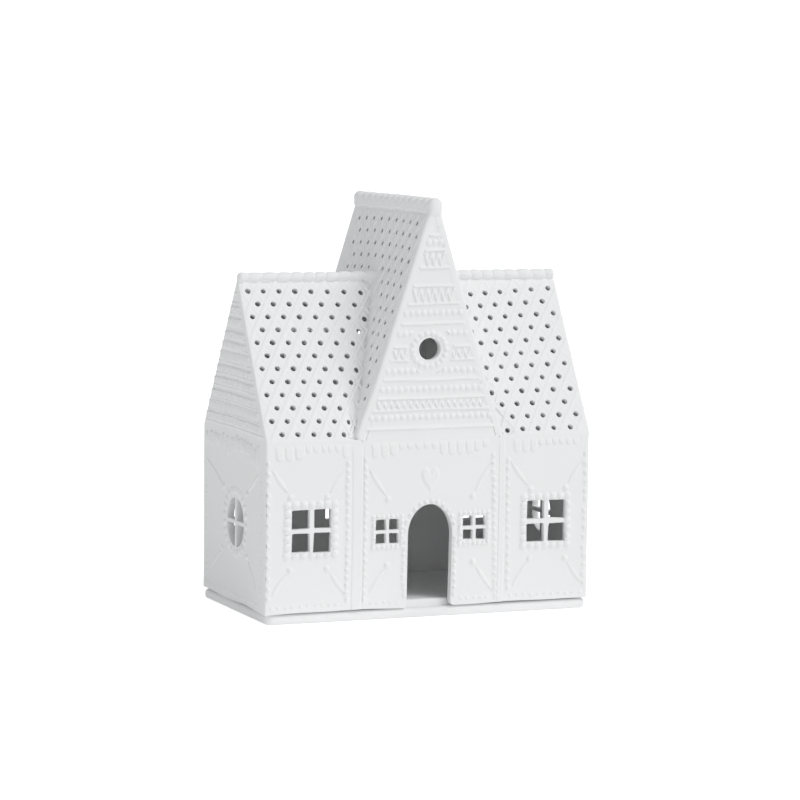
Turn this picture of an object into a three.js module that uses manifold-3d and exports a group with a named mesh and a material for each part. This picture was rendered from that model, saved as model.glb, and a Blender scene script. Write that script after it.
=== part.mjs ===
// Porcelain gingerbread house that lifts off a shallow tray, as a lantern for a tealight.
// The house is a set of slabs: walls, pierced roof slopes and piped ridge rolls.
// Millimetres, +Z up, front towards -Y, origin under the middle of the tray.

import * as THREE from 'three';
import { mergeVertices } from 'three/addons/utils/BufferGeometryUtils.js';
import Module from 'manifold-3d';

const wasm = await Module();
wasm.setup();

// House block
const houseWidth = 140;
const houseDepth = 75;
const wallThickness = 3;
const roofThickness = 3;
const eavesHeight = 72.75;
const mainRidgeHeight = 135;
const crossRidgeHeight = 170;
const bayWidth = 61;
const seam = 0.3;

// Tray
const traySlab = 4;
const trayInset = 0.5;
const trayCorner = 3;
const trayEdge = 1.2;
const plinthHeight = 4;
const plinthClearance = 1;

// Door
const doorWidth = 20.6;
const doorSpring = 35.1;
const doorFootRadius = 2.5;

// Windows with a cross of glazing bars. Insets run from the outer edge of the house or of the centre bay
const largeWindowWidth = 16.2;
const largeWindowHeight = 16.9;
const largeWindowInset = 18.9;
const largeWindowZ = 36.9;
const largeBar = 1.6;
const smallWindowWidth = 10.2;
const smallWindowHeight = 10;
const smallWindowInset = 11.7;
const smallWindowZ = 35.1;
const smallBar = 1.2;
const roundWindowDiameter = 10.5;
const roundWindowDrop = 62;
const sideWindowDiameter = 19.6;
const sideWindowZ = 36;
const sideBar = 1.7;
const quarterSegments = 5;

// Piped relief on the walls
const reliefHeight = 0.6;
const reliefSink = 0.2;
const largeFrameWidth = 2.6;
const smallFrameWidth = 1.9;
const doorBorderWidth = 1.8;
const doorBorderGap = 1.2;
const cornerColumnWidth = 1.8;
const cornerColumnInset = 1.5;
const bayColumnInset = 2.3;
const sideColumnInset = 5.2;
const columnDrop = 6.75;
const columnFoot = 8;
const icingInset = 0.5;
const icingDrop = 1;
const eavesBandHeight = 1.6;
const dripWidth = 3.3;
const dripGap = 1;
const longDrip = 6.6;
const shortDrip = 3.8;
const heartWidth = 9;
const heartHeight = 11;
const heartZ = 55.8;
const heartRim = 1.2;
const heartPoints = 22;
const ridgeLineHeight = 0.8;
const sideLineSpacing = 6;
const linesAboveEaves = [3.75, 10.75, 15.35, 22.55];
const linesBelowRidge = [16, 22.4, 30, 37.1, 44.5, 52.1];

// Roof piercing
const holeDiameter = 2.4;
const holeSides = 6;
const holeRowSpacing = 5.75;
const leftHolePitch = 6.75;
const rightHolePitch = 7.1;
const holeFirstRow = 2.6;
const holeGableInset = 4.5;
const holeRidgeMargin = 5;
const holeValleyMargin = 3;
const crossRowSpacing = 5.23;
const crossHolePitch = 7;
const crossTopRow = 6.4;
const crossValleyMargin = 4.5;
const crossEndMargin = 4;

// Ridge rolls
const crossRollRadius = 2.8;
const crossRollSink = 4.7;
const crossRollSeat = 6.1;
const crossRollLobes = 14;
const crossRollCrimp = 0.32;
const crossRollOverhang = 0.8;
const crossRollTwist = 0.9;
const mainRollRadius = 2.15;
const mainRollSink = 0.15;
const mainBeadLength = 4;
const mainBeadCrimp = 0.35;
const rollSides = 8;
const beadRings = 2;
const rollEndShare = 0.35;
const mainRidgeFlat = 0.5;

// How far a cutting solid reaches past what it cuts, and steps in a curve of an outline
const overcut = 1;
const tipSegments = 3;
const archSegments = 14;
const roundSegments = 12;

// Values worked out from the driving dimensions
const halfWidth = houseWidth / 2;
const halfDepth = houseDepth / 2;
const halfBay = bayWidth / 2;
const innerX = halfWidth - wallThickness;
const innerY = halfDepth - wallThickness;
const mainSlope = Math.atan2(mainRidgeHeight - eavesHeight, halfDepth);
const crossSlope = Math.atan2(crossRidgeHeight - eavesHeight, halfBay);
const crossEndY = halfDepth + seam;
const crossTopHeight = crossRidgeHeight - crossRollSeat;
const mainTopHeight = mainRidgeHeight - mainRidgeFlat * Math.tan(mainSlope);
const largeWindowX = halfWidth - largeWindowInset;
const smallWindowX = halfBay - smallWindowInset;
const roundWindowZ = crossRidgeHeight - roundWindowDrop;
const roundWindowRadius = roundWindowDiameter / 2;
const far = 2 * (houseWidth + crossRidgeHeight);

// Half width of a roof prism at a height, for a plane moved inwards by a distance square to it
function mainHalfDepthAt(height, inset) {
  return (mainRidgeHeight - height) / Math.tan(mainSlope) - inset / Math.sin(mainSlope);
}

function crossHalfWidthAt(height, inset) {
  return (crossRidgeHeight - height) / Math.tan(crossSlope) - inset / Math.sin(crossSlope);
}

// Turns a three.js geometry into a solid that can be cut and joined
function solidOf(geometry) {
  const bare = geometry.index ? geometry.toNonIndexed() : geometry.clone();
  bare.deleteAttribute('normal');
  bare.deleteAttribute('uv');
  const merged = mergeVertices(bare, 1e-4);
  const vertProperties = new Float32Array(merged.attributes.position.array);
  const triVerts = new Uint32Array(merged.index.array);
  return new wasm.Manifold(new wasm.Mesh({ numProp: 3, vertProperties, triVerts }));
}

// Gives a solid back as a named mesh with its own matt white glaze-free material
function meshOf(name, solid) {
  const { numProp, vertProperties, triVerts } = solid.getMesh();
  const geometry = new THREE.BufferGeometry();
  const count = vertProperties.length / numProp;
  const positions = new Float32Array(count * 3);
  for (let i = 0; i < count; i += 1) {
    positions.set(vertProperties.subarray(i * numProp, i * numProp + 3), i * 3);
  }
  geometry.setAttribute('position', new THREE.BufferAttribute(positions, 3));
  geometry.setIndex(new THREE.BufferAttribute(new Uint32Array(triVerts), 1));
  geometry.computeVertexNormals();
  const material = new THREE.MeshStandardMaterial({ color: 0xeceae6, roughness: 0.72, metalness: 0 });
  const mesh = new THREE.Mesh(geometry, material);
  mesh.name = name;
  return mesh;
}

function polygon(points) {
  return new THREE.Shape(points.map(([a, b]) => new THREE.Vector2(a, b)));
}

function rectangle(a0, b0, a1, b1) {
  return polygon([[a0, b0], [a1, b0], [a1, b1], [a0, b1]]);
}

// An outline in X and Z, carried along Y from y0 to y1
function alongY(shape, y0, y1, segments = roundSegments) {
  const settings = { depth: y1 - y0, bevelEnabled: false, curveSegments: segments };
  const geometry = new THREE.ExtrudeGeometry(shape, settings);
  geometry.applyMatrix4(new THREE.Matrix4().set(1, 0, 0, 0, 0, 0, -1, y1, 0, 1, 0, 0, 0, 0, 0, 1));
  return solidOf(geometry);
}

// An outline in Y and Z, carried along X from x0 to x1
function alongX(shape, x0, x1, segments = roundSegments) {
  const settings = { depth: x1 - x0, bevelEnabled: false, curveSegments: segments };
  const geometry = new THREE.ExtrudeGeometry(shape, settings);
  geometry.applyMatrix4(new THREE.Matrix4().set(0, 0, 1, x0, 1, 0, 0, 0, 0, 1, 0, 0, 0, 0, 0, 1));
  return solidOf(geometry);
}

function sum(solids) {
  return solids.reduce((whole, piece) => whole.add(piece));
}

// The same wall seen from behind: a half turn about the upright axis
function turned(solid) {
  return solid.rotate([0, 0, 180]);
}

// Prism under the main roof planes, moved inwards by inset, reaching below the eaves by drop
function mainPrism(inset, drop, x0, x1) {
  const foot = eavesHeight - drop;
  const y = mainHalfDepthAt(foot, inset);
  const top = mainRidgeHeight - inset / Math.cos(mainSlope);
  return alongX(polygon([[-y, foot], [y, foot], [0, top]]), x0, x1);
}

// Prism under the cross roof planes, moved inwards by inset
function crossPrism(inset, drop) {
  const foot = eavesHeight - drop;
  const x = crossHalfWidthAt(foot, inset);
  const top = crossRidgeHeight - inset / Math.cos(crossSlope);
  return alongY(polygon([[-x, foot], [x, foot], [0, top]]), -far, far);
}

// Tray: a slab with a rounded edge and a raised plinth that the house drops over
function roundedRectangle(halfX, halfY, radius) {
  const shape = new THREE.Shape();
  shape.moveTo(-halfX + radius, -halfY);
  shape.lineTo(halfX - radius, -halfY);
  shape.absarc(halfX - radius, -halfY + radius, radius, -Math.PI / 2, 0);
  shape.lineTo(halfX, halfY - radius);
  shape.absarc(halfX - radius, halfY - radius, radius, 0, Math.PI / 2);
  shape.lineTo(-halfX + radius, halfY);
  shape.absarc(-halfX + radius, halfY - radius, radius, Math.PI / 2, Math.PI);
  shape.lineTo(-halfX, -halfY + radius);
  shape.absarc(-halfX + radius, -halfY + radius, radius, Math.PI, 1.5 * Math.PI);
  return shape;
}

function tray() {
  const flatX = halfWidth - trayInset - trayEdge;
  const flatY = halfDepth - trayInset - trayEdge;
  const slab = new THREE.ExtrudeGeometry(roundedRectangle(flatX, flatY, trayCorner - trayEdge), {
    depth: traySlab - 2 * trayEdge,
    bevelThickness: trayEdge,
    bevelSize: trayEdge,
    bevelSegments: tipSegments,
    curveSegments: tipSegments,
  });
  slab.translate(0, 0, trayEdge);
  const plinthX = innerX - plinthClearance;
  const plinthY = innerY - plinthClearance;
  const plinth = new THREE.ExtrudeGeometry(roundedRectangle(plinthX, plinthY, trayCorner), {
    depth: plinthHeight + traySlab / 2,
    bevelEnabled: false,
    curveSegments: tipSegments,
  });
  plinth.translate(0, 0, traySlab / 2);
  return solidOf(slab).add(solidOf(plinth));
}

// Openings are cut as four panes, so that the glazing bars are left standing
function fourPanes(centre, middle, width, height, bar) {
  const paneWidth = (width - bar) / 2;
  const paneHeight = (height - bar) / 2;
  const panes = [];
  for (const a of [-1, 1]) {
    for (const b of [-1, 1]) {
      const x = centre + a * (bar + paneWidth) / 2;
      const z = middle + b * (bar + paneHeight) / 2;
      const half = [paneWidth / 2, paneHeight / 2];
      panes.push(rectangle(x - half[0], z - half[1], x + half[0], z + half[1]));
    }
  }
  return panes;
}

// A raised band round a rectangular opening
function frameBand(centre, middle, width, height, band) {
  const outer = rectangle(
    centre - width / 2 - band,
    middle - height / 2 - band,
    centre + width / 2 + band,
    middle + height / 2 + band,
  );
  const inner = [
    [centre - width / 2, middle - height / 2],
    [centre - width / 2, middle + height / 2],
    [centre + width / 2, middle + height / 2],
    [centre + width / 2, middle - height / 2],
  ];
  outer.holes.push(new THREE.Path(inner.map(([a, b]) => new THREE.Vector2(a, b))));
  return outer;
}

function circle(a, b, radius) {
  const shape = new THREE.Shape();
  shape.absarc(a, b, radius, 0, 2 * Math.PI);
  return shape;
}

function ring(a, b, radius, band) {
  const shape = circle(a, b, radius + band);
  const hole = new THREE.Path();
  hole.absarc(a, b, radius, 0, 2 * Math.PI, true);
  shape.holes.push(hole);
  return shape;
}

// Outline of the piped border round the door: upright sides under a round arch
function doorShape(grow, foot) {
  const half = doorWidth / 2 + grow;
  const shape = new THREE.Shape();
  shape.moveTo(half, foot);
  shape.lineTo(half, doorSpring);
  shape.absarc(0, doorSpring, half, 0, Math.PI);
  shape.lineTo(-half, foot);
  return shape;
}

function doorBorder() {
  const outer = doorShape(doorBorderGap + doorBorderWidth, columnFoot);
  const band = alongY(outer, -halfDepth - reliefHeight, -halfDepth + reliefSink, archSegments);
  const inner = doorShape(doorBorderGap, columnFoot - overcut);
  return band.subtract(alongY(inner, -halfDepth - overcut, -halfDepth + overcut, archSegments));
}

// Heart outline: x goes with the cube of a sine, z with a sum of four cosines that spans 29 units
function heartShape(scale) {
  const points = [];
  for (let i = 0; i < heartPoints; i += 1) {
    const t = 2 * Math.PI * (i + 0.5) / heartPoints;
    const rise = 13 * Math.cos(t) - 5 * Math.cos(2 * t) - 2 * Math.cos(3 * t) - Math.cos(4 * t);
    const x = scale * Math.sin(t) ** 3 * heartWidth / 2;
    points.push([x, heartZ + scale * rise * heartHeight / 29]);
  }
  return polygon(points);
}

function heart() {
  const rim = 1 - 2 * heartRim / heartWidth;
  const outer = alongY(heartShape(1), -halfDepth - reliefHeight, -halfDepth + reliefSink);
  return outer.subtract(alongY(heartShape(rim), -halfDepth - overcut, -halfDepth + overcut));
}

// Icing along the eaves: a band with hanging drips, long and short in turn
function eavesIcing(x0, x1) {
  const count = Math.max(1, Math.floor((x1 - x0 + dripGap) / (dripWidth + dripGap)));
  const pitch = (x1 - x0 + dripGap) / count;
  const width = pitch - dripGap;
  const top = eavesHeight - icingDrop;
  const band = top - eavesBandHeight;
  const shape = new THREE.Shape();
  shape.moveTo(x0, top);
  for (let i = 0; i < count; i += 1) {
    const left = x0 + i * pitch;
    const length = i % 3 === 1 ? shortDrip : longDrip;
    const tip = band - length + width / 2;
    shape.lineTo(left, band);
    shape.lineTo(left, tip);
    shape.absarc(left + width / 2, tip, width / 2, Math.PI, 2 * Math.PI);
    shape.lineTo(left + width, band);
  }
  shape.lineTo(x1, top);
  return shape;
}

function column(x) {
  const half = cornerColumnWidth / 2;
  return rectangle(x - half, columnFoot, x + half, eavesHeight - columnDrop);
}

// Raised outlines on the front plane, as thin solids that bite into the wall
function raised(shapes, segments) {
  return sum(shapes.map((s) => alongY(s, -halfDepth - reliefHeight, -halfDepth + reliefSink, segments)));
}

// Openings cut right through the front plane
function through(shapes) {
  return sum(shapes.map((s) => alongY(s, -halfDepth - reliefHeight - overcut, -innerY + overcut)));
}

// Side bay of the front: one window between two columns
function sideBay(side) {
  const x0 = side < 0 ? -innerX : halfBay;
  const x1 = side < 0 ? -halfBay : innerX;
  const centre = side * largeWindowX;
  const size = [largeWindowWidth, largeWindowHeight];
  const panes = fourPanes(centre, largeWindowZ, size[0], size[1], largeBar);
  const relief = raised([
    frameBand(centre, largeWindowZ, size[0], size[1], largeFrameWidth),
    column(side * (halfBay + sideColumnInset)),
    eavesIcing(x0 + icingInset, x1 - icingInset),
  ], tipSegments);
  const wall = alongY(rectangle(x0, traySlab, x1, eavesHeight), -halfDepth, -innerY);
  return wall.add(relief).subtract(through(panes));
}

// Centre bay and gable: one upright slab from the tray to the point under the cross ridge.
// The door is open at the foot, where the wall corners beside it are rounded off.
function gableOutline(withDoor) {
  const lean = roofThickness + seam;
  const shoulder = crossHalfWidthAt(eavesHeight, lean);
  const half = doorWidth / 2;
  const corner = half + doorFootRadius;
  const foot = traySlab + doorFootRadius;
  const shape = new THREE.Shape();
  shape.moveTo(-halfBay, traySlab);
  if (withDoor) {
    shape.lineTo(-corner, traySlab);
    shape.absarc(-corner, foot, doorFootRadius, -Math.PI / 2, 0);
    shape.lineTo(-half, doorSpring);
    shape.absarc(0, doorSpring, half, Math.PI, 0, true);
    shape.lineTo(half, foot);
    shape.absarc(corner, foot, doorFootRadius, Math.PI, 1.5 * Math.PI);
  }
  shape.lineTo(halfBay, traySlab);
  shape.lineTo(halfBay, eavesHeight);
  shape.lineTo(shoulder, eavesHeight);
  shape.lineTo(0, crossRidgeHeight - lean / Math.cos(crossSlope));
  shape.lineTo(-shoulder, eavesHeight);
  shape.lineTo(-halfBay, eavesHeight);
  return shape;
}

// A raised line across the gable, stopping clear of the roof slabs
function gableLine(height) {
  const half = crossHalfWidthAt(height + ridgeLineHeight, roofThickness + 2 * seam);
  return rectangle(-half, height, half, height + ridgeLineHeight);
}

function gableWall(withDoor) {
  const windows = [-1, 1].map((side) => side * smallWindowX);
  const size = [smallWindowWidth, smallWindowHeight];
  const panes = windows.map((x) => fourPanes(x, smallWindowZ, size[0], size[1], smallBar)).flat();
  const plain = raised([
    ...windows.map((x) => frameBand(x, smallWindowZ, size[0], size[1], smallFrameWidth)),
    ...linesAboveEaves.map((rise) => gableLine(eavesHeight + rise)),
    ...linesBelowRidge.map((drop) => gableLine(crossRidgeHeight - drop)),
    column(-halfBay + bayColumnInset),
    column(halfBay - bayColumnInset),
    eavesIcing(-halfBay + icingInset, halfBay - icingInset),
  ], tipSegments);
  const round = raised([ring(0, roundWindowZ, roundWindowRadius, smallFrameWidth)], roundSegments);
  const slab = alongY(gableOutline(withDoor), -halfDepth, -innerY);
  const openings = through([...panes, circle(0, roundWindowZ, roundWindowRadius)]);
  const wall = slab.add(plain).add(round).add(heart()).subtract(openings);
  return withDoor ? wall.add(doorBorder()) : wall;
}

// One quarter of a round window, beside the glazing bars
function quarterPane(middle, radius, bar, a, b) {
  const inset = bar / 2;
  const points = [[a * inset, middle + b * inset]];
  const from = Math.asin(inset / radius);
  const to = Math.PI / 2 - from;
  for (let i = 0; i <= quarterSegments; i += 1) {
    const angle = from + (to - from) * i / quarterSegments;
    points.push([a * radius * Math.cos(angle), middle + b * radius * Math.sin(angle)]);
  }
  return polygon(points);
}

// End gable: covers the ends of the roof slabs, with a round window and its glazing bars
function endGable() {
  const outline = polygon([
    [-halfDepth, traySlab],
    [halfDepth, traySlab],
    [halfDepth, eavesHeight],
    [mainRidgeFlat, mainTopHeight],
    [-mainRidgeFlat, mainTopHeight],
    [-halfDepth, eavesHeight],
  ]);
  const radius = sideWindowDiameter / 2;
  const quarters = [[-1, -1], [-1, 1], [1, -1], [1, 1]];
  const panes = quarters.map(([a, b]) => quarterPane(sideWindowZ, radius, sideBar, a, b));
  const lines = [ring(0, sideWindowZ, radius, largeFrameWidth)];
  for (let z = eavesHeight; z < mainRidgeHeight - sideLineSpacing; z += sideLineSpacing) {
    const half = mainHalfDepthAt(z + ridgeLineHeight, 2 * seam);
    lines.push(rectangle(-half, z, half, z + ridgeLineHeight));
  }
  const relief = lines.map((line) => alongX(line, -halfWidth - reliefHeight, -halfWidth + reliefSink));
  const cuts = panes.map((pane) => alongX(pane, -halfWidth - reliefHeight - overcut, -innerX + overcut));
  return alongX(outline, -halfWidth, -innerX).add(sum(relief)).subtract(sum(cuts));
}

// A round piercing in the plane of a slope
function piercing(across, along) {
  const hole = new THREE.Path();
  for (let i = 0; i <= holeSides; i += 1) {
    const angle = -2 * Math.PI * i / holeSides;
    const a = across + holeDiameter / 2 * Math.cos(angle);
    const b = along + holeDiameter / 2 * Math.sin(angle);
    if (i === 0) {
      hole.moveTo(a, b);
    } else {
      hole.lineTo(a, b);
    }
  }
  return hole;
}

// A pierced slab that lies in a slope: across and up are unit vectors in the slope, foot is its eaves line
function slopeSlab(length, width, holes, across, up, foot) {
  const shape = rectangle(width[0], -overcut, width[1], length + overcut);
  shape.holes.push(...holes);
  const geometry = new THREE.ExtrudeGeometry(shape, { depth: roofThickness, bevelEnabled: false });
  geometry.translate(0, 0, -roofThickness);
  const normal = new THREE.Vector3().crossVectors(across, up);
  geometry.applyMatrix4(new THREE.Matrix4().makeBasis(across, up, normal).setPosition(foot));
  return solidOf(geometry);
}

// Everything below a height, or above it
function layer(z0, z1) {
  return alongY(rectangle(-far, z0, far, z1), -far, far);
}

// Holes of a main slope, row by row up from the eaves; every other row is moved half a pitch
function mainHoles(side, pitch, length) {
  const holes = [];
  for (let row = 0; holeFirstRow + row * holeRowSpacing < length - holeRidgeMargin; row += 1) {
    const along = holeFirstRow + row * holeRowSpacing;
    const valley = crossHalfWidthAt(eavesHeight + along * Math.sin(mainSlope), 0) + holeValleyMargin;
    const first = halfWidth - holeGableInset - (row % 2 ? 0 : pitch / 2);
    for (let x = first; x > valley; x -= pitch) {
      holes.push(piercing(side * x, along));
    }
  }
  return holes;
}

// A quarter of the main roof, from the end gable to the valley with the cross roof
function mainQuarter(side, pitch) {
  const length = Math.hypot(halfDepth, mainRidgeHeight - eavesHeight);
  const width = side < 0 ? [-innerX, 0] : [0, innerX];
  const up = new THREE.Vector3(0, Math.cos(mainSlope), Math.sin(mainSlope));
  const foot = new THREE.Vector3(0, -halfDepth, eavesHeight);
  const holes = mainHoles(side, pitch, length);
  const slab = slopeSlab(length, width, holes, new THREE.Vector3(1, 0, 0), up, foot);
  const behind = alongY(rectangle(-far, 0, far, far), 0, far);
  return slab.subtract(layer(0, eavesHeight))
    .subtract(layer(mainTopHeight, far))
    .subtract(behind)
    .subtract(crossPrism(-seam, overcut));
}

// Holes of a cross slope, counted down from the ridge; below the main ridge they stop at the valleys
function crossHoles(length) {
  const top = length - crossRollSeat / Math.sin(crossSlope) - crossTopRow;
  const holes = [];
  for (let row = 0; top - row * crossRowSpacing > crossValleyMargin; row += 1) {
    const along = top - row * crossRowSpacing;
    const z = eavesHeight + along * Math.sin(crossSlope);
    const valley = z > mainRidgeHeight ? -1 : mainHalfDepthAt(z, 0) + crossValleyMargin;
    for (let y = row % 2 ? crossHolePitch / 2 : 0; y < halfDepth - crossEndMargin; y += crossHolePitch) {
      if (y > valley) {
        holes.push(piercing(y, along));
      }
      if (y > valley && y > 0) {
        holes.push(piercing(-y, along));
      }
    }
  }
  return holes;
}

// The slope of the cross roof that faces +X; inside the house it stops under the main roof
function crossSlab() {
  const length = Math.hypot(halfBay, crossRidgeHeight - eavesHeight);
  const up = new THREE.Vector3(-Math.cos(crossSlope), 0, Math.sin(crossSlope));
  const foot = new THREE.Vector3(halfBay, 0, eavesHeight);
  const width = [-crossEndY, crossEndY];
  const slab = slopeSlab(length, width, crossHoles(length), new THREE.Vector3(0, 1, 0), up, foot);
  const beyond = alongX(rectangle(-far, 0, far, far), -far, 0);
  return slab.subtract(layer(0, eavesHeight))
    .subtract(layer(crossTopHeight, far))
    .subtract(beyond)
    .subtract(mainPrism(roofThickness, overcut, -far, far));
}

// A piped roll along Y: its radius swells and shrinks along its length, its ends are round
function roll(length, radius, lobes, crimp, twist) {
  const rings = lobes * beadRings;
  const points = [];
  const index = [];
  for (let i = 0; i <= rings; i += 1) {
    const t = i / rings;
    const intoEnd = Math.max(0, Math.abs(t - 0.5) * length - length / 2 + radius) / radius;
    const cap = Math.max(rollEndShare, Math.sqrt(Math.max(0, 1 - intoEnd ** 2)));
    for (let j = 0; j < rollSides; j += 1) {
      const angle = 2 * Math.PI * j / rollSides;
      const wave = Math.abs(Math.sin(Math.PI * lobes * t + twist * Math.sin(angle)));
      const r = radius * cap - crimp * (1 - wave);
      points.push(r * Math.cos(angle), (t - 0.5) * length, r * Math.sin(angle));
    }
  }
  for (let i = 0; i < rings; i += 1) {
    for (let j = 0; j < rollSides; j += 1) {
      const a = i * rollSides + j;
      const b = i * rollSides + (j + 1) % rollSides;
      index.push(a, a + rollSides, b, b, a + rollSides, b + rollSides);
    }
  }
  const last = rings * rollSides;
  for (let j = 1; j < rollSides - 1; j += 1) {
    index.push(0, j, j + 1);
    index.push(last, last + j + 1, last + j);
  }
  const geometry = new THREE.BufferGeometry();
  geometry.setAttribute('position', new THREE.Float32BufferAttribute(points, 3));
  geometry.setIndex(index);
  return solidOf(geometry);
}

// Twisted roll that caps the cross ridge, flat underneath where it sits on the slabs
function crossRoll() {
  const length = 2 * (crossEndY + crossRollOverhang);
  const body = roll(length, crossRollRadius, crossRollLobes, crossRollCrimp, crossRollTwist)
    .translate([0, 0, crossRidgeHeight - crossRollSink]);
  const below = rectangle(-far, 0, far, crossTopHeight);
  return body.subtract(alongY(below, -far, far));
}

// Beaded roll over half of the main ridge, from the end gable to the cross roof
function mainRoll(side) {
  const inner = crossHalfWidthAt(mainRidgeHeight, 0) - mainRollRadius;
  const length = halfWidth - inner;
  const lobes = Math.round(length / mainBeadLength);
  const body = roll(length, mainRollRadius, lobes, mainBeadCrimp, 0)
    .rotate([0, 0, 90])
    .translate([side * (inner + length / 2), 0, mainRidgeHeight - mainRollSink]);
  return body.subtract(mainPrism(-seam, overcut, -far, far)).subtract(crossPrism(-seam, overcut));
}

function house() {
  const group = new THREE.Group();
  const front = [sideBay(-1), gableWall(true), sideBay(1)];
  const gable = endGable();
  group.add(
    meshOf('front_left_wall', front[0]),
    meshOf('front_gable_wall', front[1]),
    meshOf('front_right_wall', front[2]),
    meshOf('back_left_wall', turned(front[2])),
    meshOf('back_gable_wall', turned(gableWall(false))),
    meshOf('back_right_wall', turned(front[0])),
    meshOf('left_gable_wall', gable),
    meshOf('right_gable_wall', turned(gable)),
    meshOf('main_roof_front_left', mainQuarter(-1, leftHolePitch)),
    meshOf('main_roof_front_right', mainQuarter(1, rightHolePitch)),
    meshOf('main_roof_back_left', turned(mainQuarter(1, rightHolePitch))),
    meshOf('main_roof_back_right', turned(mainQuarter(-1, leftHolePitch))),
    meshOf('cross_roof_left', turned(crossSlab())),
    meshOf('cross_roof_right', crossSlab()),
    meshOf('main_ridge_left', mainRoll(-1)),
    meshOf('main_ridge_right', mainRoll(1)),
    meshOf('cross_ridge', crossRoll()),
  );
  return group;
}

const ornament = new THREE.Group();
ornament.add(meshOf('tray', tray()), house());
export default ornament;
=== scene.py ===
"""White bisque gingerbread house lantern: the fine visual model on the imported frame.

Shapes are worked out in millimetres, on grids of points, and go into the meshes in metres.
"""

import math

import bpy
import numpy as np
from bpy.props import FloatProperty, FloatVectorProperty, IntProperty
from mathutils import Matrix, Vector


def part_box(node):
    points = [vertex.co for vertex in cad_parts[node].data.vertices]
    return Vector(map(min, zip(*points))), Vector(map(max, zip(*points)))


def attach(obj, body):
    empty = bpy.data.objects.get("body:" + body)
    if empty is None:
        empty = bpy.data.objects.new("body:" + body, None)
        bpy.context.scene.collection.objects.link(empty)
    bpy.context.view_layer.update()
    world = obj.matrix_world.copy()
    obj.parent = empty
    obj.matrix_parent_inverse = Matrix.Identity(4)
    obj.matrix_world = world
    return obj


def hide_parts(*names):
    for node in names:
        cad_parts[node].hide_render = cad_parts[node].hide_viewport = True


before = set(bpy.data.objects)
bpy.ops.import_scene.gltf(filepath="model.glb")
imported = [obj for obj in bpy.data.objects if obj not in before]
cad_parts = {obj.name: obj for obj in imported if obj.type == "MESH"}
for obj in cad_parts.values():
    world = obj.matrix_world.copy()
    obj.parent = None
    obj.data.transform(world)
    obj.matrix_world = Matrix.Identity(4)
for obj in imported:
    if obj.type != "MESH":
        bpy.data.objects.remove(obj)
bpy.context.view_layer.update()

bl_info = {
    "name": "Gingerbread House Lantern",
    "version": (1, 0, 0),
    "blender": (4, 5, 0),
    "location": "View3D > Sidebar > Lantern",
    "description": "Builds a pierced porcelain gingerbread house on its tray",
    "category": "Add Mesh",
}

MM = 0.001
AXIS_X, AXIS_Y, AXIS_Z = np.eye(3)


def corners(node):
    """The lowest and highest corner of a node of the frame, in millimetres."""
    low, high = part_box(node)
    return np.array(low) / MM, np.array(high) / MM


WALL_LOW, _ = corners("front_left_wall")
SLOPE_LOW, _ = corners("main_roof_front_left")
CROSS_LOW, _ = corners("cross_roof_left")
_, TRAY_HIGH = corners("tray")
ROLL_LOW, ROLL_HIGH = corners("cross_ridge")

# How far the cross roof and its roll reach past the back gable, and how much lower the plinth is.
ROLL_OVERHANG = 4.3
PLINTH_DROP = 1.1


def length(name, description, default):
    """A property for a size, given in millimetres and kept in metres."""
    return FloatProperty(name=name, description=description, default=default * MM, unit="LENGTH", precision=5)


def share(name, description, default):
    """A property for a plain number from 0 to 1."""
    return FloatProperty(name=name, description=description, default=default, min=0.0, max=1.0,
                         subtype="FACTOR")


class HouseSizes(bpy.types.PropertyGroup):
    """The main sizes of the house, from the frame where it holds them."""

    half_width: length("Half width", "From the middle to an end gable's face", 3.0 - SLOPE_LOW[0])
    half_depth: length("Half depth", "From the middle to the front wall's face", -SLOPE_LOW[1])
    foot: length("Foot", "Height at which the walls stand on the tray", WALL_LOW[2])
    eaves: length("Eaves", "Height of the eaves", SLOPE_LOW[2])
    half_bay: length("Half bay", "Half the width of the centre bay at the eaves", -CROSS_LOW[0])
    slab: length("Slab", "Thickness of the walls and roofs", 3.0)
    main_ridge: length("Main ridge", "Height at which the long roof's slopes would meet", 135.0)
    cross_ridge: length("Cross ridge", "Height at which the cross roof's slopes would meet", 170.0)
    corner: length("Corner rounding", "Radius of the outer corners", 0.7)
    fine_step: length("Wall grid step", "Distance between the grid lines of the walls", 0.24)
    roof_step: length("Roof grid step", "Distance between the grid lines of the roofs", 0.25)
    most_triangles: IntProperty(name="Most triangles", description="Most triangles of a slab",
                                default=180000)
    most_behind: IntProperty(name="Most triangles behind", 
                             description="The same for slabs at the back and right",
                             default=85000)
    uneven: length("Unevenness", "How far the hand-built slabs stray from flat", 0.16)


class ReliefSizes(bpy.types.PropertyGroup):
    """The sizes of the piped and pressed relief."""

    pearl_height: length("Pearl height", "Height of the pearls over the wall", 0.85)
    line_height: length("Line height", "Height of the piped lines", 0.5)
    drip_height: length("Drip height", "Height of the icing drips", 0.4)
    strip_height: length("Strip height", "How far the plain strips stand proud", 0.26)
    lattice_height: length("Lattice height", "Height of the lattice on the roofs", 0.22)
    lattice_half: length("Lattice half width", "Half the width of a lattice strip", 0.65)
    hole_radius: length("Hole radius", "Radius of the pierced holes", 1.12)


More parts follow.
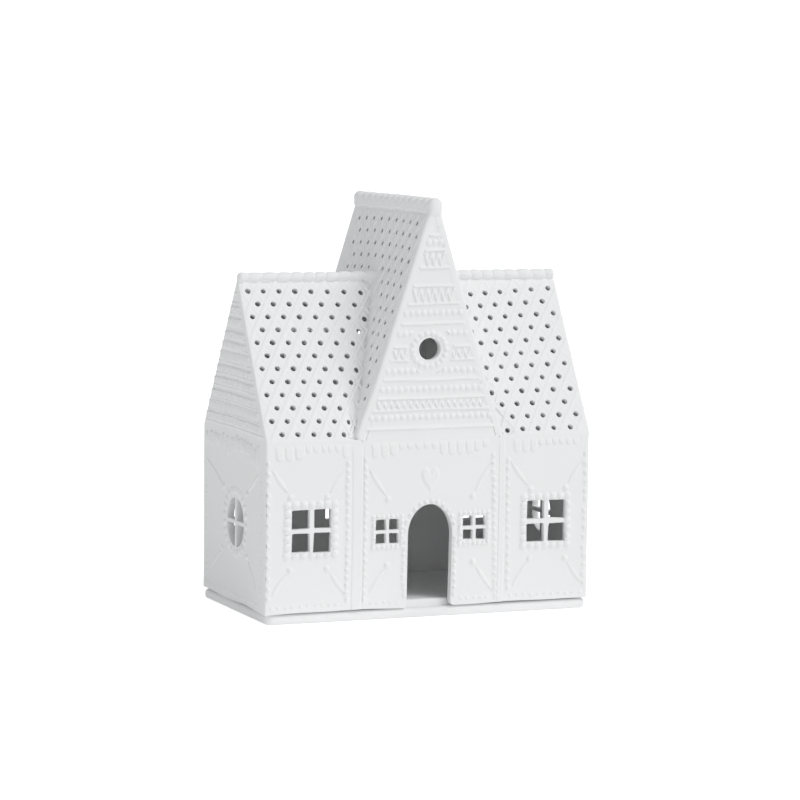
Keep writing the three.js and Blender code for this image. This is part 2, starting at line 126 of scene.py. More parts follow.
class ClaySettings(bpy.types.PropertyGroup):
    """The look of the unglazed porcelain and of the stage."""

    colour: FloatVectorProperty(name="Bisque", description="Colour of the bisque", size=3, subtype="COLOR",
                                default=(0.95, 0.954, 0.956), min=0.0, max=1.0)
    shade: FloatVectorProperty(name="Bisque shade", description="Colour of its faint darker clouds", size=3,
                               subtype="COLOR", default=(0.93, 0.934, 0.936), min=0.0, max=1.0)
    roughness: share("Roughness", "Mean roughness of the bisque", 0.72)
    floor: FloatVectorProperty(name="Floor", description="Colour of the floor", size=3, subtype="COLOR",
                               default=(1.0, 1.0, 1.0), min=0.0, max=1.0)
    floor_glow: share("Floor glow", "Light that the floor gives off, as on a lit table", 0.13)
    floor_white: share("Floor white", "What the camera sees besides, so that the floor burns out", 0.45)
    sky: FloatProperty(name="Soft light", description="Strength of the even white surroundings", default=0.46)
    key: FloatProperty(name="Key light", default=1.13,
                       description="Strength of the large lamp at the front right")
    fill: FloatProperty(name="Fill light", default=0.09,
                        description="Strength of the weak wide lamp at the front left")


def mm(value):
    """A length in millimetres from a property in metres."""
    return value / MM


def unit(vector):
    """The vector at length 1."""
    vector = np.asarray(vector, float)
    return vector / np.linalg.norm(vector)


def smooth(value):
    """The smooth step from 0 to 1: three times the square less twice the cube."""
    value = np.clip(value, 0.0, 1.0)
    return value * value * (3.0 - 2.0 * value)


class Face:
    """A flat face of the house: a point on it and the directions across it, up it and out of it."""

    def __init__(self, point, across, up):
        self.point = np.asarray(point, float)
        self.across = unit(across)
        self.up = unit(up)
        self.normal = np.cross(self.across, self.up)

    def place(self, u, v, w):
        """The points that lie u across, v up and w out of the face."""
        u, v, w = np.broadcast_arrays(u, v, w)
        return (self.point + u[..., None] * self.across + v[..., None] * self.up
                + w[..., None] * self.normal)


class House:
    """The outer faces of the house in millimetres, worked out from the sizes."""

    def __init__(self, sizes):
        self.half_width = mm(sizes.half_width)
        self.half_depth = mm(sizes.half_depth)
        self.foot = mm(sizes.foot)
        self.eaves = mm(sizes.eaves)
        self.half_bay = mm(sizes.half_bay)
        self.slab = mm(sizes.slab)
        self.main_rise = mm(sizes.main_ridge) - self.eaves
        self.cross_rise = mm(sizes.cross_ridge) - self.eaves
        self.corner = mm(sizes.corner)
        self.main_slope = math.hypot(self.half_depth, self.main_rise)
        self.cross_slope = math.hypot(self.half_bay, self.cross_rise)
        self.eaves_turn = 90.0 - math.degrees(math.atan2(self.main_rise, self.half_depth))

    def wall(self, side):
        """The front face for side -1 and the back face for side 1."""
        return Face((0.0, side * self.half_depth, 0.0), -side * AXIS_X, AXIS_Z)

    def end(self, side):
        """The left end face for side -1 and the right one for side 1."""
        return Face((side * self.half_width, 0.0, 0.0), side * AXIS_Y, AXIS_Z)

    def slope(self, side):
        """The long roof's front slope for side -1 and its back slope for side 1."""
        up = (0.0, -side * self.half_depth, self.main_rise)
        return Face((0.0, side * self.half_depth, self.eaves), -side * AXIS_X, up)

    def cross(self, side):
        """The cross roof's left slope for side -1 and its right slope for side 1."""
        up = (-side * self.half_bay, 0.0, self.cross_rise)
        return Face((side * self.half_bay, 0.0, self.eaves), side * AXIS_Y, up)


class Edge:
    """How a slab ends: a round of some radius through which the surface turns by so many degrees.

    Where the edge is shared the slab stops half way round, and its neighbour makes the other half.
    """

    STEPS = 5

    def __init__(self, radius=0.5, turn=90.0, shared=False):
        half = math.radians(turn) / 2
        self.radius = radius
        self.reach = radius * math.tan(half)
        self.angle = half if shared else 2 * half
        self.slope = math.tan(half) if shared else 0.0

    def offsets(self):
        """Distances of the grid lines on the round from the sharp edge that it replaces."""
        return self.reach - self.radius * np.sin(np.linspace(self.angle, 0.0, self.STEPS + 1))

    def drop(self, distance):
        """How far the round falls below the face: the radius less the height of its circle."""
        run = np.clip(self.reach - distance, 0.0, self.radius * math.sin(self.angle))
        return self.radius - np.sqrt(self.radius ** 2 - run ** 2)


def grid_lines(low, high, low_edge, high_edge, step):
    """Grid lines that follow the round at each end, and lie evenly between."""
    first = low + low_edge.offsets()
    last = high - high_edge.offsets()[::-1]
    count = max(2, round((last[0] - first[-1]) / step))
    return np.concatenate([first[:-1], np.linspace(first[-1], last[0], count + 1), last[1:]])


class Sheet:
    """A slab seen from outside: a grid of points across (u) and up (v) its face, with relief in millimetres.

    The outer surface is base + relief - drop, where relief is the highest of all that is laid on a point
    and drop is the rounding of the edges. The back is flat.
    """

    def __init__(self, face, across, up, slab, edges, step, seed=1):
        left, right, bottom, top = edges
        self.face = face
        self.slab = slab
        self.edges = edges
        self.across = across
        self.up = up
        self.u = grid_lines(*across, left, right, step)
        self.v = grid_lines(*up, bottom, top, step)
        self.relief = np.zeros((len(self.v), len(self.u)))
        self.base = np.zeros_like(self.relief)
        drop_u = left.drop(self.u - across[0]) + right.drop(across[1] - self.u)
        drop_v = bottom.drop(self.v - up[0]) + top.drop(up[1] - self.v)
        self.drop = np.hypot(drop_u[None, :], drop_v[:, None])
        self.random = np.random.default_rng(seed)
        self.shift = (0.0, 0.0)

    def window(self, u_low, u_high, v_low, v_high):
        """The part of the grid between these limits, with its u in a row and its v in a column.

        Both are counted from the sheet's shift, so that it moves all relief that is laid on.
        """
        du, dv = self.shift
        i = slice(*np.searchsorted(self.u, (u_low + du, u_high + du)))
        j = slice(*np.searchsorted(self.v, (v_low + dv, v_high + dv)))
        return (j, i), self.u[None, i] - du, self.v[j, None] - dv

    def raise_to(self, where, height):
        """Lays a height on part of the grid, where it is above what is there."""
        self.relief[where] = np.maximum(self.relief[where], height)

    def pearl(self, u, v, radius, height, long=1.0, angle=0.0, power=2.0):
        """A dome: 1 less both distances from its middle, in radii, to a power; that to 0.7, times height.

        One radius is so much longer than the other, in the direction of the angle.
        """
        reach = radius * max(long, 1.0) * 1.05
        where, uu, vv = self.window(u - reach, u + reach, v - reach, v + reach)
        along = (uu - u) * math.cos(angle) + (vv - v) * math.sin(angle)
        aside = (vv - v) * math.cos(angle) - (uu - u) * math.sin(angle)
        left = 1.0 - np.abs(along / (radius * long)) ** power - np.abs(aside / radius) ** power
        self.raise_to(where, height * np.clip(left, 0.0, None) ** 0.7)

    def pearls(self, us, vs, radius, height, stray=0.12, power=2.0):
        """A pearl at each place, each a little off its place and size."""
        for u, v in zip(us, vs):
            du, dv, grow = self.random.normal(0.0, stray, 3)
            self.pearl(u + du, v + dv, radius * (1.0 + 0.35 * grow), height, power=power)

    def bar(self, start, end, half, height, taper=0.0, power=2.0):
        """A bar: height times the root of 1 less the distance from its line in half widths to a power.

        A taper narrows the half width towards both ends, by the sine of the way along to that power.
        """
        start, end = np.asarray(start, float), np.asarray(end, float)
        low, high = np.minimum(start, end) - half, np.maximum(start, end) + half
        where, uu, vv = self.window(low[0], high[0], low[1], high[1])
        run = np.linalg.norm(end - start)
        du, dv = (end - start) / run
        along = (uu - start[0]) * du + (vv - start[1]) * dv
        aside = (uu - start[0]) * dv - (vv - start[1]) * du
        inside = np.clip(along, 0.0, run)
        width = half * np.maximum(np.sin(np.pi * inside / run), 0.02) ** taper
        distance = np.hypot(aside, along - inside) / width
        self.raise_to(where, height * np.sqrt(np.clip(1.0 - distance ** power, 0.0, None)))

    def spear(self, start, end, half=0.95, height=0.38):
        """A slim blade that is pointed at both ends, with a pearl beyond its end."""
        start, end = np.asarray(start, float), np.asarray(end, float)
        along = unit(end - start)
        self.bar(start, end - along * 2.2, half, height, taper=0.7)
        self.pearl(end[0], end[1], 1.25, height + 0.45)

    def line(self, v, half, height, low, high, sway=0.0, fade=0.8):
        """A level piped line from u = low to high, which sways by slow waves and thins out at its ends."""
        where, uu, vv = self.window(low, high, v - half - 2 * abs(sway) - 0.3, v + half + 2 * abs(sway) + 0.3)
        phase = self.random.uniform(0.0, 2 * np.pi, 2)
        centre = v + 0.07 * np.sin(uu / 6.0 + phase[0]) + sway * self.bend(uu)
        ends = smooth(np.minimum(uu - low, high - uu) / fade)
        self.raise_to(where, ends * height * np.sqrt(np.clip(1.0 - ((vv - centre) / half) ** 2, 0.0, None)))

    def ledge(self, v, low, high, height, run=1.7):
        """A ledge that slopes out gently from so far above its lower edge, and falls back steeply below it."""
        where, uu, vv = self.window(low, high, v - 0.8, v + run + 0.3)
        edge = v + 0.07 * np.sin(uu / 6.0 + self.random.uniform(0.0, 2 * np.pi))
        slope = np.clip((edge + run - vv) / run, 0.0, 1.0) ** 0.8
        ends = smooth(np.minimum(uu - low, high - uu) / 0.5)
        self.raise_to(where, ends * height * slope * smooth((vv - edge + 0.3) / 0.3))

    def bend(self, uu):
        """How the rows droop towards both sides: the square of the way out from the middle."""
        middle = (self.across[0] + self.across[1]) / 2
        return -((uu - middle) / (self.across[1] - middle)) ** 2

    def zigzag(self, bottom, top, low, high, pitch, half, height, sway=0.0):
        """A zigzag between two heights: distance from a triangle wave, with a dot where it turns above."""
        margin = half + 2 * abs(sway)
        where, uu, vv = self.window(low, high, bottom - margin, top + margin)
        lift = sway * self.bend(uu)
        count = max(1, round((high - low) / pitch))
        pitch = (high - low) / count
        wave = np.abs(2.0 * ((uu - low) / pitch % 1.0) - 1.0)
        steep = 2.0 * (top - bottom) / pitch
        distance = np.abs(vv - lift - bottom - (top - bottom) * wave) / math.hypot(1.0, steep)
        inside = (vv - lift > bottom - half) & (vv - lift < top + half)
        self.raise_to(where, inside * height * np.sqrt(np.clip(1.0 - (distance / half) ** 2, 0.0, None)))
        for u in low + pitch * np.arange(count + 1):
            drop = float(sway * self.bend(u))
            self.pearl(u + self.random.normal(0, 0.05), top + drop, 1.3 * half, height)

    def strokes(self, bottom, top, low, high, pitch, half, height, sway=0.0, ragged=0.1):
        """A row of short upright strokes."""
        count = max(1, round((high - low) / pitch))
        for u in low + (high - low) * (np.arange(count) + 0.5) / count:
            drop = float(sway * self.bend(u))
            ends = self.random.normal(0.0, ragged, 2)
            lean = self.random.normal(0.0, 0.06)
            self.bar((u - lean, bottom + drop + ends[0]), (u + lean, top + drop + ends[1]),
                     half * self.random.uniform(0.9, 1.1), height, power=6.0)

    def drip(self, u, half, tip, top, height):
        """A tongue of icing: flat, with soft sides and a round tip, fading out into the wall at its top.

        Its half width grows upwards, and its height is the smooth step of the distance in from its outline.
        """
        soft = 0.55
        where, uu, vv = self.window(u - 2 * half, u + 2 * half, tip - 0.2, top + 0.5)
        widen = half * (0.8 + 0.2 * smooth((vv - tip) / (top - tip)))
        inside = widen - np.hypot(uu - u, np.clip(tip + half - vv, 0.0, None))
        fade = smooth((top + 0.2 - vv) / 1.8)
        self.raise_to(where, height * fade * smooth(inside / soft))

    def drips(self, low, tips, widths, top, height):
        """A row of drips from u = low on, each with its width and the height of its tip."""
        u = low
        for tip, width in zip(tips, widths):
            self.drip(u + width / 2, width / 2, tip, top, height)
            u += width

    def strip(self, low, high, v_low, v_high, height, groove=0.08):
        """A plain upright strip that stands proud between u = low and high, with a thin groove at both edges.

        Over its last few millimetres it sinks into the wall.
        """
        where, uu, vv = self.window(low - 1.0, high + 1.0, v_low, v_high)
        edge = 0.6
        inside = smooth((uu - low) / edge) * smooth((high - uu) / edge)
        gap = np.minimum(np.abs(uu - low), np.abs(uu - high))
        fade = smooth((v_high - vv) / 6.0)
        self.base[where] += fade * (height * inside - groove * np.clip(1.0 - (gap / 0.5) ** 2, 0.0, None))

    def heart(self, u, bottom, width, tall, height):
        """A puffed heart: the smooth step of the distance in from a heart curve.

        The curve is sixteen sines cubed across, and thirteen cosines less five, two and one of the
        double, triple and fourfold angle up, scaled to the width and the height given.
        """
        angle = np.linspace(0.0, 2 * np.pi, 181)[:-1]
        rise = 13 * np.cos(angle) - 5 * np.cos(2 * angle) - 2 * np.cos(3 * angle) - np.cos(4 * angle)
        outline_u = u + np.sin(angle) ** 3 * width / 2
        outline_v = bottom + (rise - rise.min()) / (rise.max() - rise.min()) * tall
        where, uu, vv = self.window(u - width, u + width, bottom - 1.0, bottom + tall + 1.0)
        uu, vv = np.broadcast_arrays(uu, vv)
        du = uu[..., None] - outline_u
        dv = vv[..., None] - outline_v
        distance = np.sqrt(du ** 2 + dv ** 2).min(axis=-1)
        next_u, next_v = np.roll(outline_u, -1), np.roll(outline_v, -1)
        crosses = (outline_v > vv[..., None]) != (next_v > vv[..., None])
        gap = np.where(np.abs(next_v - outline_v) < 1e-9, 1e-9, next_v - outline_v)
        meets = outline_u + (vv[..., None] - outline_v) / gap * (next_u - outline_u)
        inside = (np.sum(crosses & (uu[..., None] < meets), axis=-1) % 2) == 1
        self.raise_to(where, inside * height * smooth(distance / 1.1) ** 0.7)

    def lattice(self, pattern, half, height, cover, under=0.5):
        """Crossed flat strips midway between the holes of a pattern, times a cover from 0 to 1.

        In units of half a pitch across and one row up, the strips lie where the sum or the difference of
        the two is an odd number. Those of the sum run under the others: they are lower by a share, and
        thinner by half as much.
        """
        uu, vv = np.broadcast_arrays(self.u[None, :], self.v[:, None])
        a, b = pattern.units(uu, vv)
        size = math.hypot(1.0 / pattern.half, 1.0 / pattern.row)
        soft = 0.2
        height_here = np.zeros_like(uu)
        for total, level in ((a + b, under), (a - b, 1.0)):
            distance = np.abs(total % 2.0 - 1.0) / size
            strip = smooth((half * (0.5 + 0.5 * level) + soft / 2 - distance) / soft)
            height_here = np.maximum(height_here, level * strip)
        self.raise_to(np.s_[:, :], height * height_here * cover)

    def round_slope(self, start, end, edge):
        """Rounds the sheet towards a slanted edge, which runs from start to end with the sheet on its left."""
        start, end = np.asarray(start, float), np.asarray(end, float)
        du, dv = unit(end - start)
        distance = (self.v[:, None] - start[1]) * du - (self.u[None, :] - start[0]) * dv
        self.drop = np.hypot(self.drop, edge.drop(distance))

    def solid(self):
        """The closed slab: outer grid, rim, and a flat back of long strips. Gives points and faces."""
        uu, vv = np.meshgrid(self.u, self.v)
        rows, columns = uu.shape
        index = np.arange(rows * columns).reshape(rows, columns)
        front = self.face.place(uu, vv, self.base + self.relief - self.drop).reshape(-1, 3)
        rim = np.concatenate([index[0, :-1], index[:-1, -1], index[-1, :0:-1], index[:0:-1, 0]])
        left, right, bottom, top = (edge.slope * self.slab for edge in self.edges)
        back_u = np.clip(uu.ravel()[rim], self.across[0] + left, self.across[1] - right)
        back_v = np.clip(vv.ravel()[rim], self.up[0] + bottom, self.up[1] - top)
        back = self.face.place(back_u, back_v, -self.slab)
        behind = len(front) + np.arange(len(rim))
        quads = [np.stack([index[:-1, :-1], index[:-1, 1:], index[1:, 1:], index[1:, :-1]], -1).reshape(-1, 4),
                 np.stack([rim, behind, np.roll(behind, -1), np.roll(rim, -1)], -1)]
        low = behind[:columns]
        right_side = behind[columns - 1:columns + rows - 1]
        high = behind[columns + rows - 2:2 * columns + rows - 2][::-1]
        left_side = np.append(behind[2 * columns + rows - 3:], behind[0])[::-1]
        quads.append(np.stack([low[1:-2], high[1:-2], high[2:-1], low[2:-1]], -1))
        fans = [np.stack([np.full(rows - 1, low[1]), left_side[:-1], left_side[1:]], -1),
                np.array([[low[1], high[0], high[1]]]),
                np.stack([np.full(rows - 1, low[-2]), right_side[1:], right_side[:-1]], -1),
                np.array([[low[-2], high[-2], high[-1]]])]
        return np.concatenate([front, back]), [np.concatenate(quads), np.concatenate(fans)]


class Pattern:
    """Pierced rows, a little uneven. A hole lies a half pitches across and b rows up, where a + b is even.

    Across, its place is start + half a + stretch a squared + lean b + fan a b. Up, it is base + row b +
    tilt a + twist a b + sag a squared.
    """

    def __init__(self, start, half, stretch, lean, fan, base, row, tilt, twist, sag):
        self.start, self.half, self.stretch, self.lean, self.fan = start, half, stretch, lean, fan
        self.base, self.row, self.tilt, self.twist, self.sag = base, row, tilt, twist, sag

    def place(self, a, b):
        """The place across and up of a point given in half pitches and rows."""
        return (self.start + self.half * a + self.stretch * a * a + self.lean * b + self.fan * a * b,
                self.base + self.row * b + self.tilt * a + self.twist * a * b + self.sag * a * a)

    def units(self, u, v):
        """The half pitches and rows of a place: both formulas solved by repeated substitution."""
        a, b = (u - self.start) / self.half, (v - self.base) / self.row
        for _ in range(6):
            a = (u - self.start - self.lean * b) / (self.half + self.stretch * a + self.fan * b)
            b = (v - self.base - self.tilt * a - self.sag * a * a) / (self.row + self.twist * a)
        return a, b

    def holes(self, reach, rows):
        """The places of the holes up to so many half pitches to both sides, in the first so many rows."""
        a, b = np.meshgrid(np.arange(-reach, reach + 1), np.arange(rows))
        even = (a + b) % 2 == 0
        return np.stack(self.place(a[even].astype(float), b[even].astype(float)), -1)


def ring(count):
    """Points round a circle of radius 1."""
    angle = np.arange(count) * 2 * np.pi / count
    return np.stack([np.cos(angle), np.sin(angle)], -1)


def rounded(points, radius, steps=4):
    """An outline with each corner replaced by a curve through the points `radius` away along its sides."""
    points = np.asarray(points, float)
    t = np.linspace(0.0, 1.0, steps + 1)[:, None]
    parts = []
    for before, corner, after in zip(np.roll(points, 1, 0), points, np.roll(points, -1, 0)):
        a = corner + unit(before - corner) * radius
        b = corner + unit(after - corner) * radius
        parts.append((1 - t) ** 2 * a + 2 * t * (1 - t) * corner + t ** 2 * b)
    return np.concatenate(parts)


def plug(face, outline, depths, spreads):
    """A prism through a face: the outline at each depth, pushed out from its middle by that depth's spread."""
    middle = outline.mean(axis=0)
    away = outline - middle
    away = away / np.linalg.norm(away, axis=1)[:, None]
    count = len(outline)
    levels = [face.place(*(outline + away * spread).T, np.full(count, depth)) for depth, spread in
              zip(depths, spreads)]
    index = np.arange(count * len(depths)).reshape(len(depths), count)
    turned = np.roll(index, -1, 1)
    quads = np.stack([index[:-1], turned[:-1], turned[1:], index[1:]], -1).reshape(-1, 4)
    fan = np.arange(1, count - 1)
    low = np.stack([np.zeros_like(fan), fan + 1, fan], -1)
    high = index[-1, 0] + np.stack([np.zeros_like(fan), fan, fan + 1], -1)
    return np.concatenate(levels), [quads, np.concatenate([low, high])]


def half_space(point, direction, size=400.0):
    """A box that fills the space on the far side of a point, in a direction."""
    direction = unit(direction)
    helper = AXIS_X if abs(direction[0]) < 0.7 else AXIS_Y
    across = unit(np.cross(helper, direction))
    face = Face(point, across, np.cross(direction, across))
    square = np.array([(-1.0, -1.0), (1.0, -1.0), (1.0, 1.0), (-1.0, 1.0)]) * size / 2
    return plug(face, square, (0.0, size), (0.0, 0.0))


def join(parts):
    """Several solids, which don't touch, as one set of points and faces."""
    points, faces, count = [], [], 0
    for part_points, part_faces in parts:
        points.append(part_points)
        faces += [face + count for face in part_faces]
        count += len(part_points)
    return np.concatenate(points), faces


def make_mesh(name, points, faces):
    """A mesh in metres from points in millimetres and arrays of faces."""
    mesh = bpy.data.meshes.new(name)
    corner_points = np.concatenate([face.ravel() for face in faces]).astype(np.int32)
    sizes = np.concatenate([np.full(len(face), face.shape[1]) for face in faces])
    mesh.vertices.add(len(points))
    mesh.vertices.foreach_set("co", (points * MM).astype(np.float32).ravel())
    mesh.loops.add(len(corner_points))
    mesh.loops.foreach_set("vertex_index", corner_points)
    mesh.polygons.add(len(sizes))
    mesh.polygons.foreach_set("loop_start", (np.cumsum(sizes) - sizes).astype(np.int32))
    mesh.update(calc_edges=True)
    mesh.validate()
    return mesh


def make_object(name, solid):
    """An object in the scene from points and faces."""
    thing = bpy.data.objects.new(name, make_mesh(name, *solid))
    bpy.context.scene.collection.objects.link(thing)
    return thing


def apply_modifiers(thing):
    """Puts the result of an object's modifiers into its mesh."""
    evaluated = thing.evaluated_get(bpy.context.evaluated_depsgraph_get())
    mesh = bpy.data.meshes.new_from_object(evaluated)
    old = thing.data
    thing.modifiers.clear()
    thing.data = mesh
    mesh.name = thing.name
    bpy.data.meshes.remove(old)


def cut(thing, solid):
    """Cuts a solid out of an object."""
    if not fits(thing, solid):
        return
    tool = make_object("cutter", solid)
    modifier = thing.modifiers.new("cut", "BOOLEAN")
    modifier.operation = "DIFFERENCE"
    modifier.solver = "MANIFOLD"
    modifier.object = tool
    before = len(thing.data.vertices)
    apply_modifiers(thing)
    if len(thing.data.vertices) in (0, before):
        raise RuntimeError(f"the cut through {thing.name} changed nothing or took it all away")
    mesh = tool.data
    bpy.data.objects.remove(tool)
    bpy.data.meshes.remove(mesh)


def fits(thing, solid):
    """Whether the boxes of an object and a solid meet."""
    box = np.array(thing.bound_box) / MM
    points = solid[0]
    return bool(np.all(points.min(0) < box.max(0)) and np.all(points.max(0) > box.min(0)))


def settle(points):
    """How the soft clay settled sideways: the front gable spread at its foot, and both ends leant.

    The gable spread most on its left. There the move grows from one slope to the other, dies away past it, and fades towards the back.
    """
    x, y, z = points.T
    half = np.clip((170.0 - z) / 97.25 * 30.5, 3.0, None)
    here = smooth((-6.0 - y) / 24.0) * smooth((z - 70.0) / 4.5) * (1.0 - smooth((z - 156.0) / 8.0))
    left = np.clip((half - x) / (2 * half), 0.0, 1.0) * np.exp(-np.clip(-x - half, 0.0, None) / 5.0)
    right = np.clip((half + x) / (2 * half), 0.0, 1.0) * np.exp(-np.clip(x - half, 0.0, None) / 5.0)
    low = smooth((96.0 - z) / 20.0)
    spread = here * (0.9 * low * right - (1.35 - 0.55 * smooth((z - 95.0) / 60.0) + 1.1 * low) * left)
    lean_right = 0.45 * smooth((x - 55.0) / 12.0) * (smooth((z - 68.0) / 8.0) + 0.7 * smooth((24.0 - z) / 14.0))
    lean_left = 0.85 * np.clip(-y / 37.5, 0.0, 1.0) * smooth((-x - 50.0) / 17.0)
    return points + np.stack([spread + (lean_right - lean_left), 0 * x, 0 * x], -1)


def uneven(points, amount, foot):
    """Hand-built unevenness: every point moves by slow sine waves of its own place, so that slabs stay joined.

    Near the foot a slow wave of the way round the house lifts the walls' lower edge a little.
    """
    points = settle(points)
    x, y, z = points.T
    shift = np.stack([
        np.sin(z / 19.0 + y / 31.0 + 0.4) + 0.5 * np.sin(y / 11.0 + z / 13.0 + 2.1),
        np.sin(x / 23.0 + z / 29.0 + 1.1) + 0.5 * np.sin(x / 9.0 + z / 14.0 + 0.3),
        np.sin(x / 27.0 + y / 21.0 + 2.6) + 0.5 * np.sin(x / 12.0 + y / 17.0 + 1.7)], -1)
    shift *= amount / 1.5
    low = 1.0 - smooth((z - foot) / 5.0)
    shift[:, 2] += low * (0.42 + 0.24 * np.sin(x / 14.0 + y / 9.0 + 2.2)
                          + 0.12 * np.sin(x / 5.0 - y / 6.0 + 1.0))
    return points + shift


def finish_piece(thing, body, nodes, material, sharp=60.0):
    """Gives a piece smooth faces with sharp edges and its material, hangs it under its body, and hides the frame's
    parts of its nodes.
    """
    bpy.ops.object.select_all(action="DESELECT")
    thing.select_set(True)
    bpy.context.view_layer.objects.active = thing
    bpy.ops.object.shade_smooth_by_angle(angle=math.radians(sharp))
    thing.select_set(False)
    thing.data.materials.clear()
    thing.data.materials.append(material)
    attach(thing, body)
    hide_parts(*nodes)


def thin(thing, most):
    """Merges the triangles that shape the least, until a piece has no more than this many."""
    triangles = sum(len(face.vertices) - 2 for face in thing.data.polygons)
    if triangles > most:
        modifier = thing.modifiers.new("thin", "DECIMATE")
        modifier.ratio = most / triangles
        apply_modifiers(thing)


def build_sheet(name, sheet, cutters, sizes, material):
    """Makes a slab's object, cuts it, makes it uneven and finishes it."""
    thing = make_object(name + "_slab", sheet.solid())
    for solid in cutters:
        cut(thing, solid)
    move_points(thing, lambda points: uneven(points, mm(sizes.uneven), mm(sizes.foot)))
    behind = name.startswith(("back", "right", "main_roof_back"))
    thin(thing, sizes.most_behind if behind else sizes.most_triangles)
    finish_piece(thing, "house", [name], material)
    return thing


def move_points(thing, change):
    """Moves an object's points by a function of their places in millimetres."""
    mesh = thing.data
    flat = np.empty(len(mesh.vertices) * 3, np.float32)
    mesh.vertices.foreach_get("co", flat)
    points = change(flat.reshape(-1, 3).astype(float) / MM)
    mesh.vertices.foreach_set("co", (points * MM).astype(np.float32).ravel())
    mesh.update()


class Socket:
    """A shader value: operators on it add Math nodes to its tree, and the result is a value again."""

    def __init__(self, nodes, socket):
        self.nodes = nodes
        self.socket = socket

    def math(self, operation, first, second):
        return self.nodes.add("ShaderNodeMath", {"operation": operation}, {0: first, 1: second})

    def __add__(self, other):
        return self.math("ADD", self, other)

    def __radd__(self, other):
        return self.math("ADD", other, self)

    def __mul__(self, other):
        return self.math("MULTIPLY", self, other)

    def __rmul__(self, other):
        return self.math("MULTIPLY", other, self)


class Nodes:
    """A node tree with one method that adds any node."""

    def __init__(self, tree):
        self.tree = tree

    def add(self, kind, settings=None, inputs=None, output=0):
        """Adds a node of a type, sets its settings and then its inputs, and gives one output."""
        node = self.tree.nodes.new(kind)
        for name, value in (settings or {}).items():
            setattr(node, name, value)
        for key, value in (inputs or {}).items():
            if isinstance(value, Socket):
                self.tree.links.new(value.socket, node.inputs[key])
            else:
                node.inputs[key].default_value = value
        return Socket(self, node.outputs[output])


def rgba(colour):
    """A colour with full alpha."""
    return (*colour, 1.0)


def bisque(name, clay, seed):
    """Unglazed porcelain: near white with faint clouds and a few iron specks, matt, with a fine grain."""
    material = bpy.data.materials.new(name)
    material.use_nodes = True
    nodes = Nodes(material.node_tree)
    shader = material.node_tree.nodes["Principled BSDF"]
    place = nodes.add("ShaderNodeTexCoord", output="Object")
    moved = nodes.add("ShaderNodeMapping", {}, {"Vector": place, "Location": (seed, 2 * seed, 0.0)})
    clouds = nodes.add("ShaderNodeTexNoise", {}, {"Vector": moved, "Scale": 55.0, "Detail": 3.0, "Roughness": 0.55})
    grain = nodes.add("ShaderNodeTexNoise", {}, {"Vector": moved, "Scale": 900.0, "Detail": 3.0, "Roughness": 0.6})
    specks = nodes.add("ShaderNodeTexVoronoi", {}, {"Vector": moved, "Scale": 62.0, "Randomness": 1.0})
    speck = nodes.add("ShaderNodeMapRange", {"clamp": True},
                      {"Value": specks, "From Min": 0.012, "From Max": 0.02, "To Min": 0.55, "To Max": 0.0})
    clay_colour = nodes.add("ShaderNodeMix", {"data_type": "RGBA"},
                            {"Factor": clouds, 6: rgba(clay.colour), 7: rgba(clay.shade)}, output=2)
    colour = nodes.add("ShaderNodeMix", {"data_type": "RGBA"},
                       {"Factor": speck, 6: clay_colour, 7: (0.42, 0.40, 0.37, 1.0)}, output=2)
    rough = clouds * 0.08 + (clay.roughness - 0.04)
    height = clouds * 0.25 + grain * 0.75
    bump = nodes.add("ShaderNodeBump", {}, {"Strength": 0.12, "Distance": 0.0003, "Height": height})
    for target, value in (("Base Color", colour), ("Roughness", rough), ("Normal", bump)):
        material.node_tree.links.new(value.socket, shader.inputs[target])
    shader.inputs["Specular IOR Level"].default_value = 0.25
    return material


def clay_material(slot):
    """The material of a slot, which is made once."""
    name = slot + "_clay"
    return bpy.data.materials.get(name) or bisque(name, bpy.context.scene.lantern_clay, 0.37 * len(slot))


class Windows:
    """The openings of a front or back wall, in millimetres on its face."""

    def __init__(self, side):
        self.large_left = (-51.4, 37.0, 16.2, 17.2, 1.6)
        self.small_left = (-19.0, 35.4, 10.0, 10.0, 1.2)
        if side < 0:
            self.large_right = (51.0, 37.0, 17.2, 17.1, 1.8)
            self.small_right = (18.85, 35.4, 9.8, 9.8, 1.3)
        else:
            self.large_right = (50.5, 37.5, 16.2, 16.3, 1.3)
            self.small_right = (11.5, 35.8, 10.1, 10.0, 1.1)


def panes(face, window, random):
    """Cutters for the four panes of a window, each a slightly irregular rounded quadrilateral."""
    u, v, width, tall, bar = window
    parts = []
    for side in (-1, 1):
        for level in (-1, 1):
            near, far = bar / 2, width / 2
            low, high = bar / 2, tall / 2
            points = np.array([(near, low), (far, low), (far, high), (near, high)]) * (side, level)
            if side * level < 0:
                points = points[::-1]
            points = points + random.normal(0.0, 0.12, points.shape) + (u, v)
            outline = rounded(points, 0.55)
            parts.append(plug(face, outline, (-6.0, -0.35, -0.12, 0.05, 1.5), (-0.12, -0.12, -0.06, 0.08, 0.9)))
    return join(parts)


def pocket(face, window):
    """The hollow behind a window, which leaves thinner glazing bars."""
    u, v, width, tall, _ = window
    half_u, half_v = width / 2 + 0.6, tall / 2 + 0.6
    outline = rounded([(u - half_u, v - half_v), (u + half_u, v - half_v),
                       (u + half_u, v + half_v), (u - half_u, v + half_v)], 1.2)
    return plug(face, outline, (-6.0, -2.0), (0.0, 0.0))


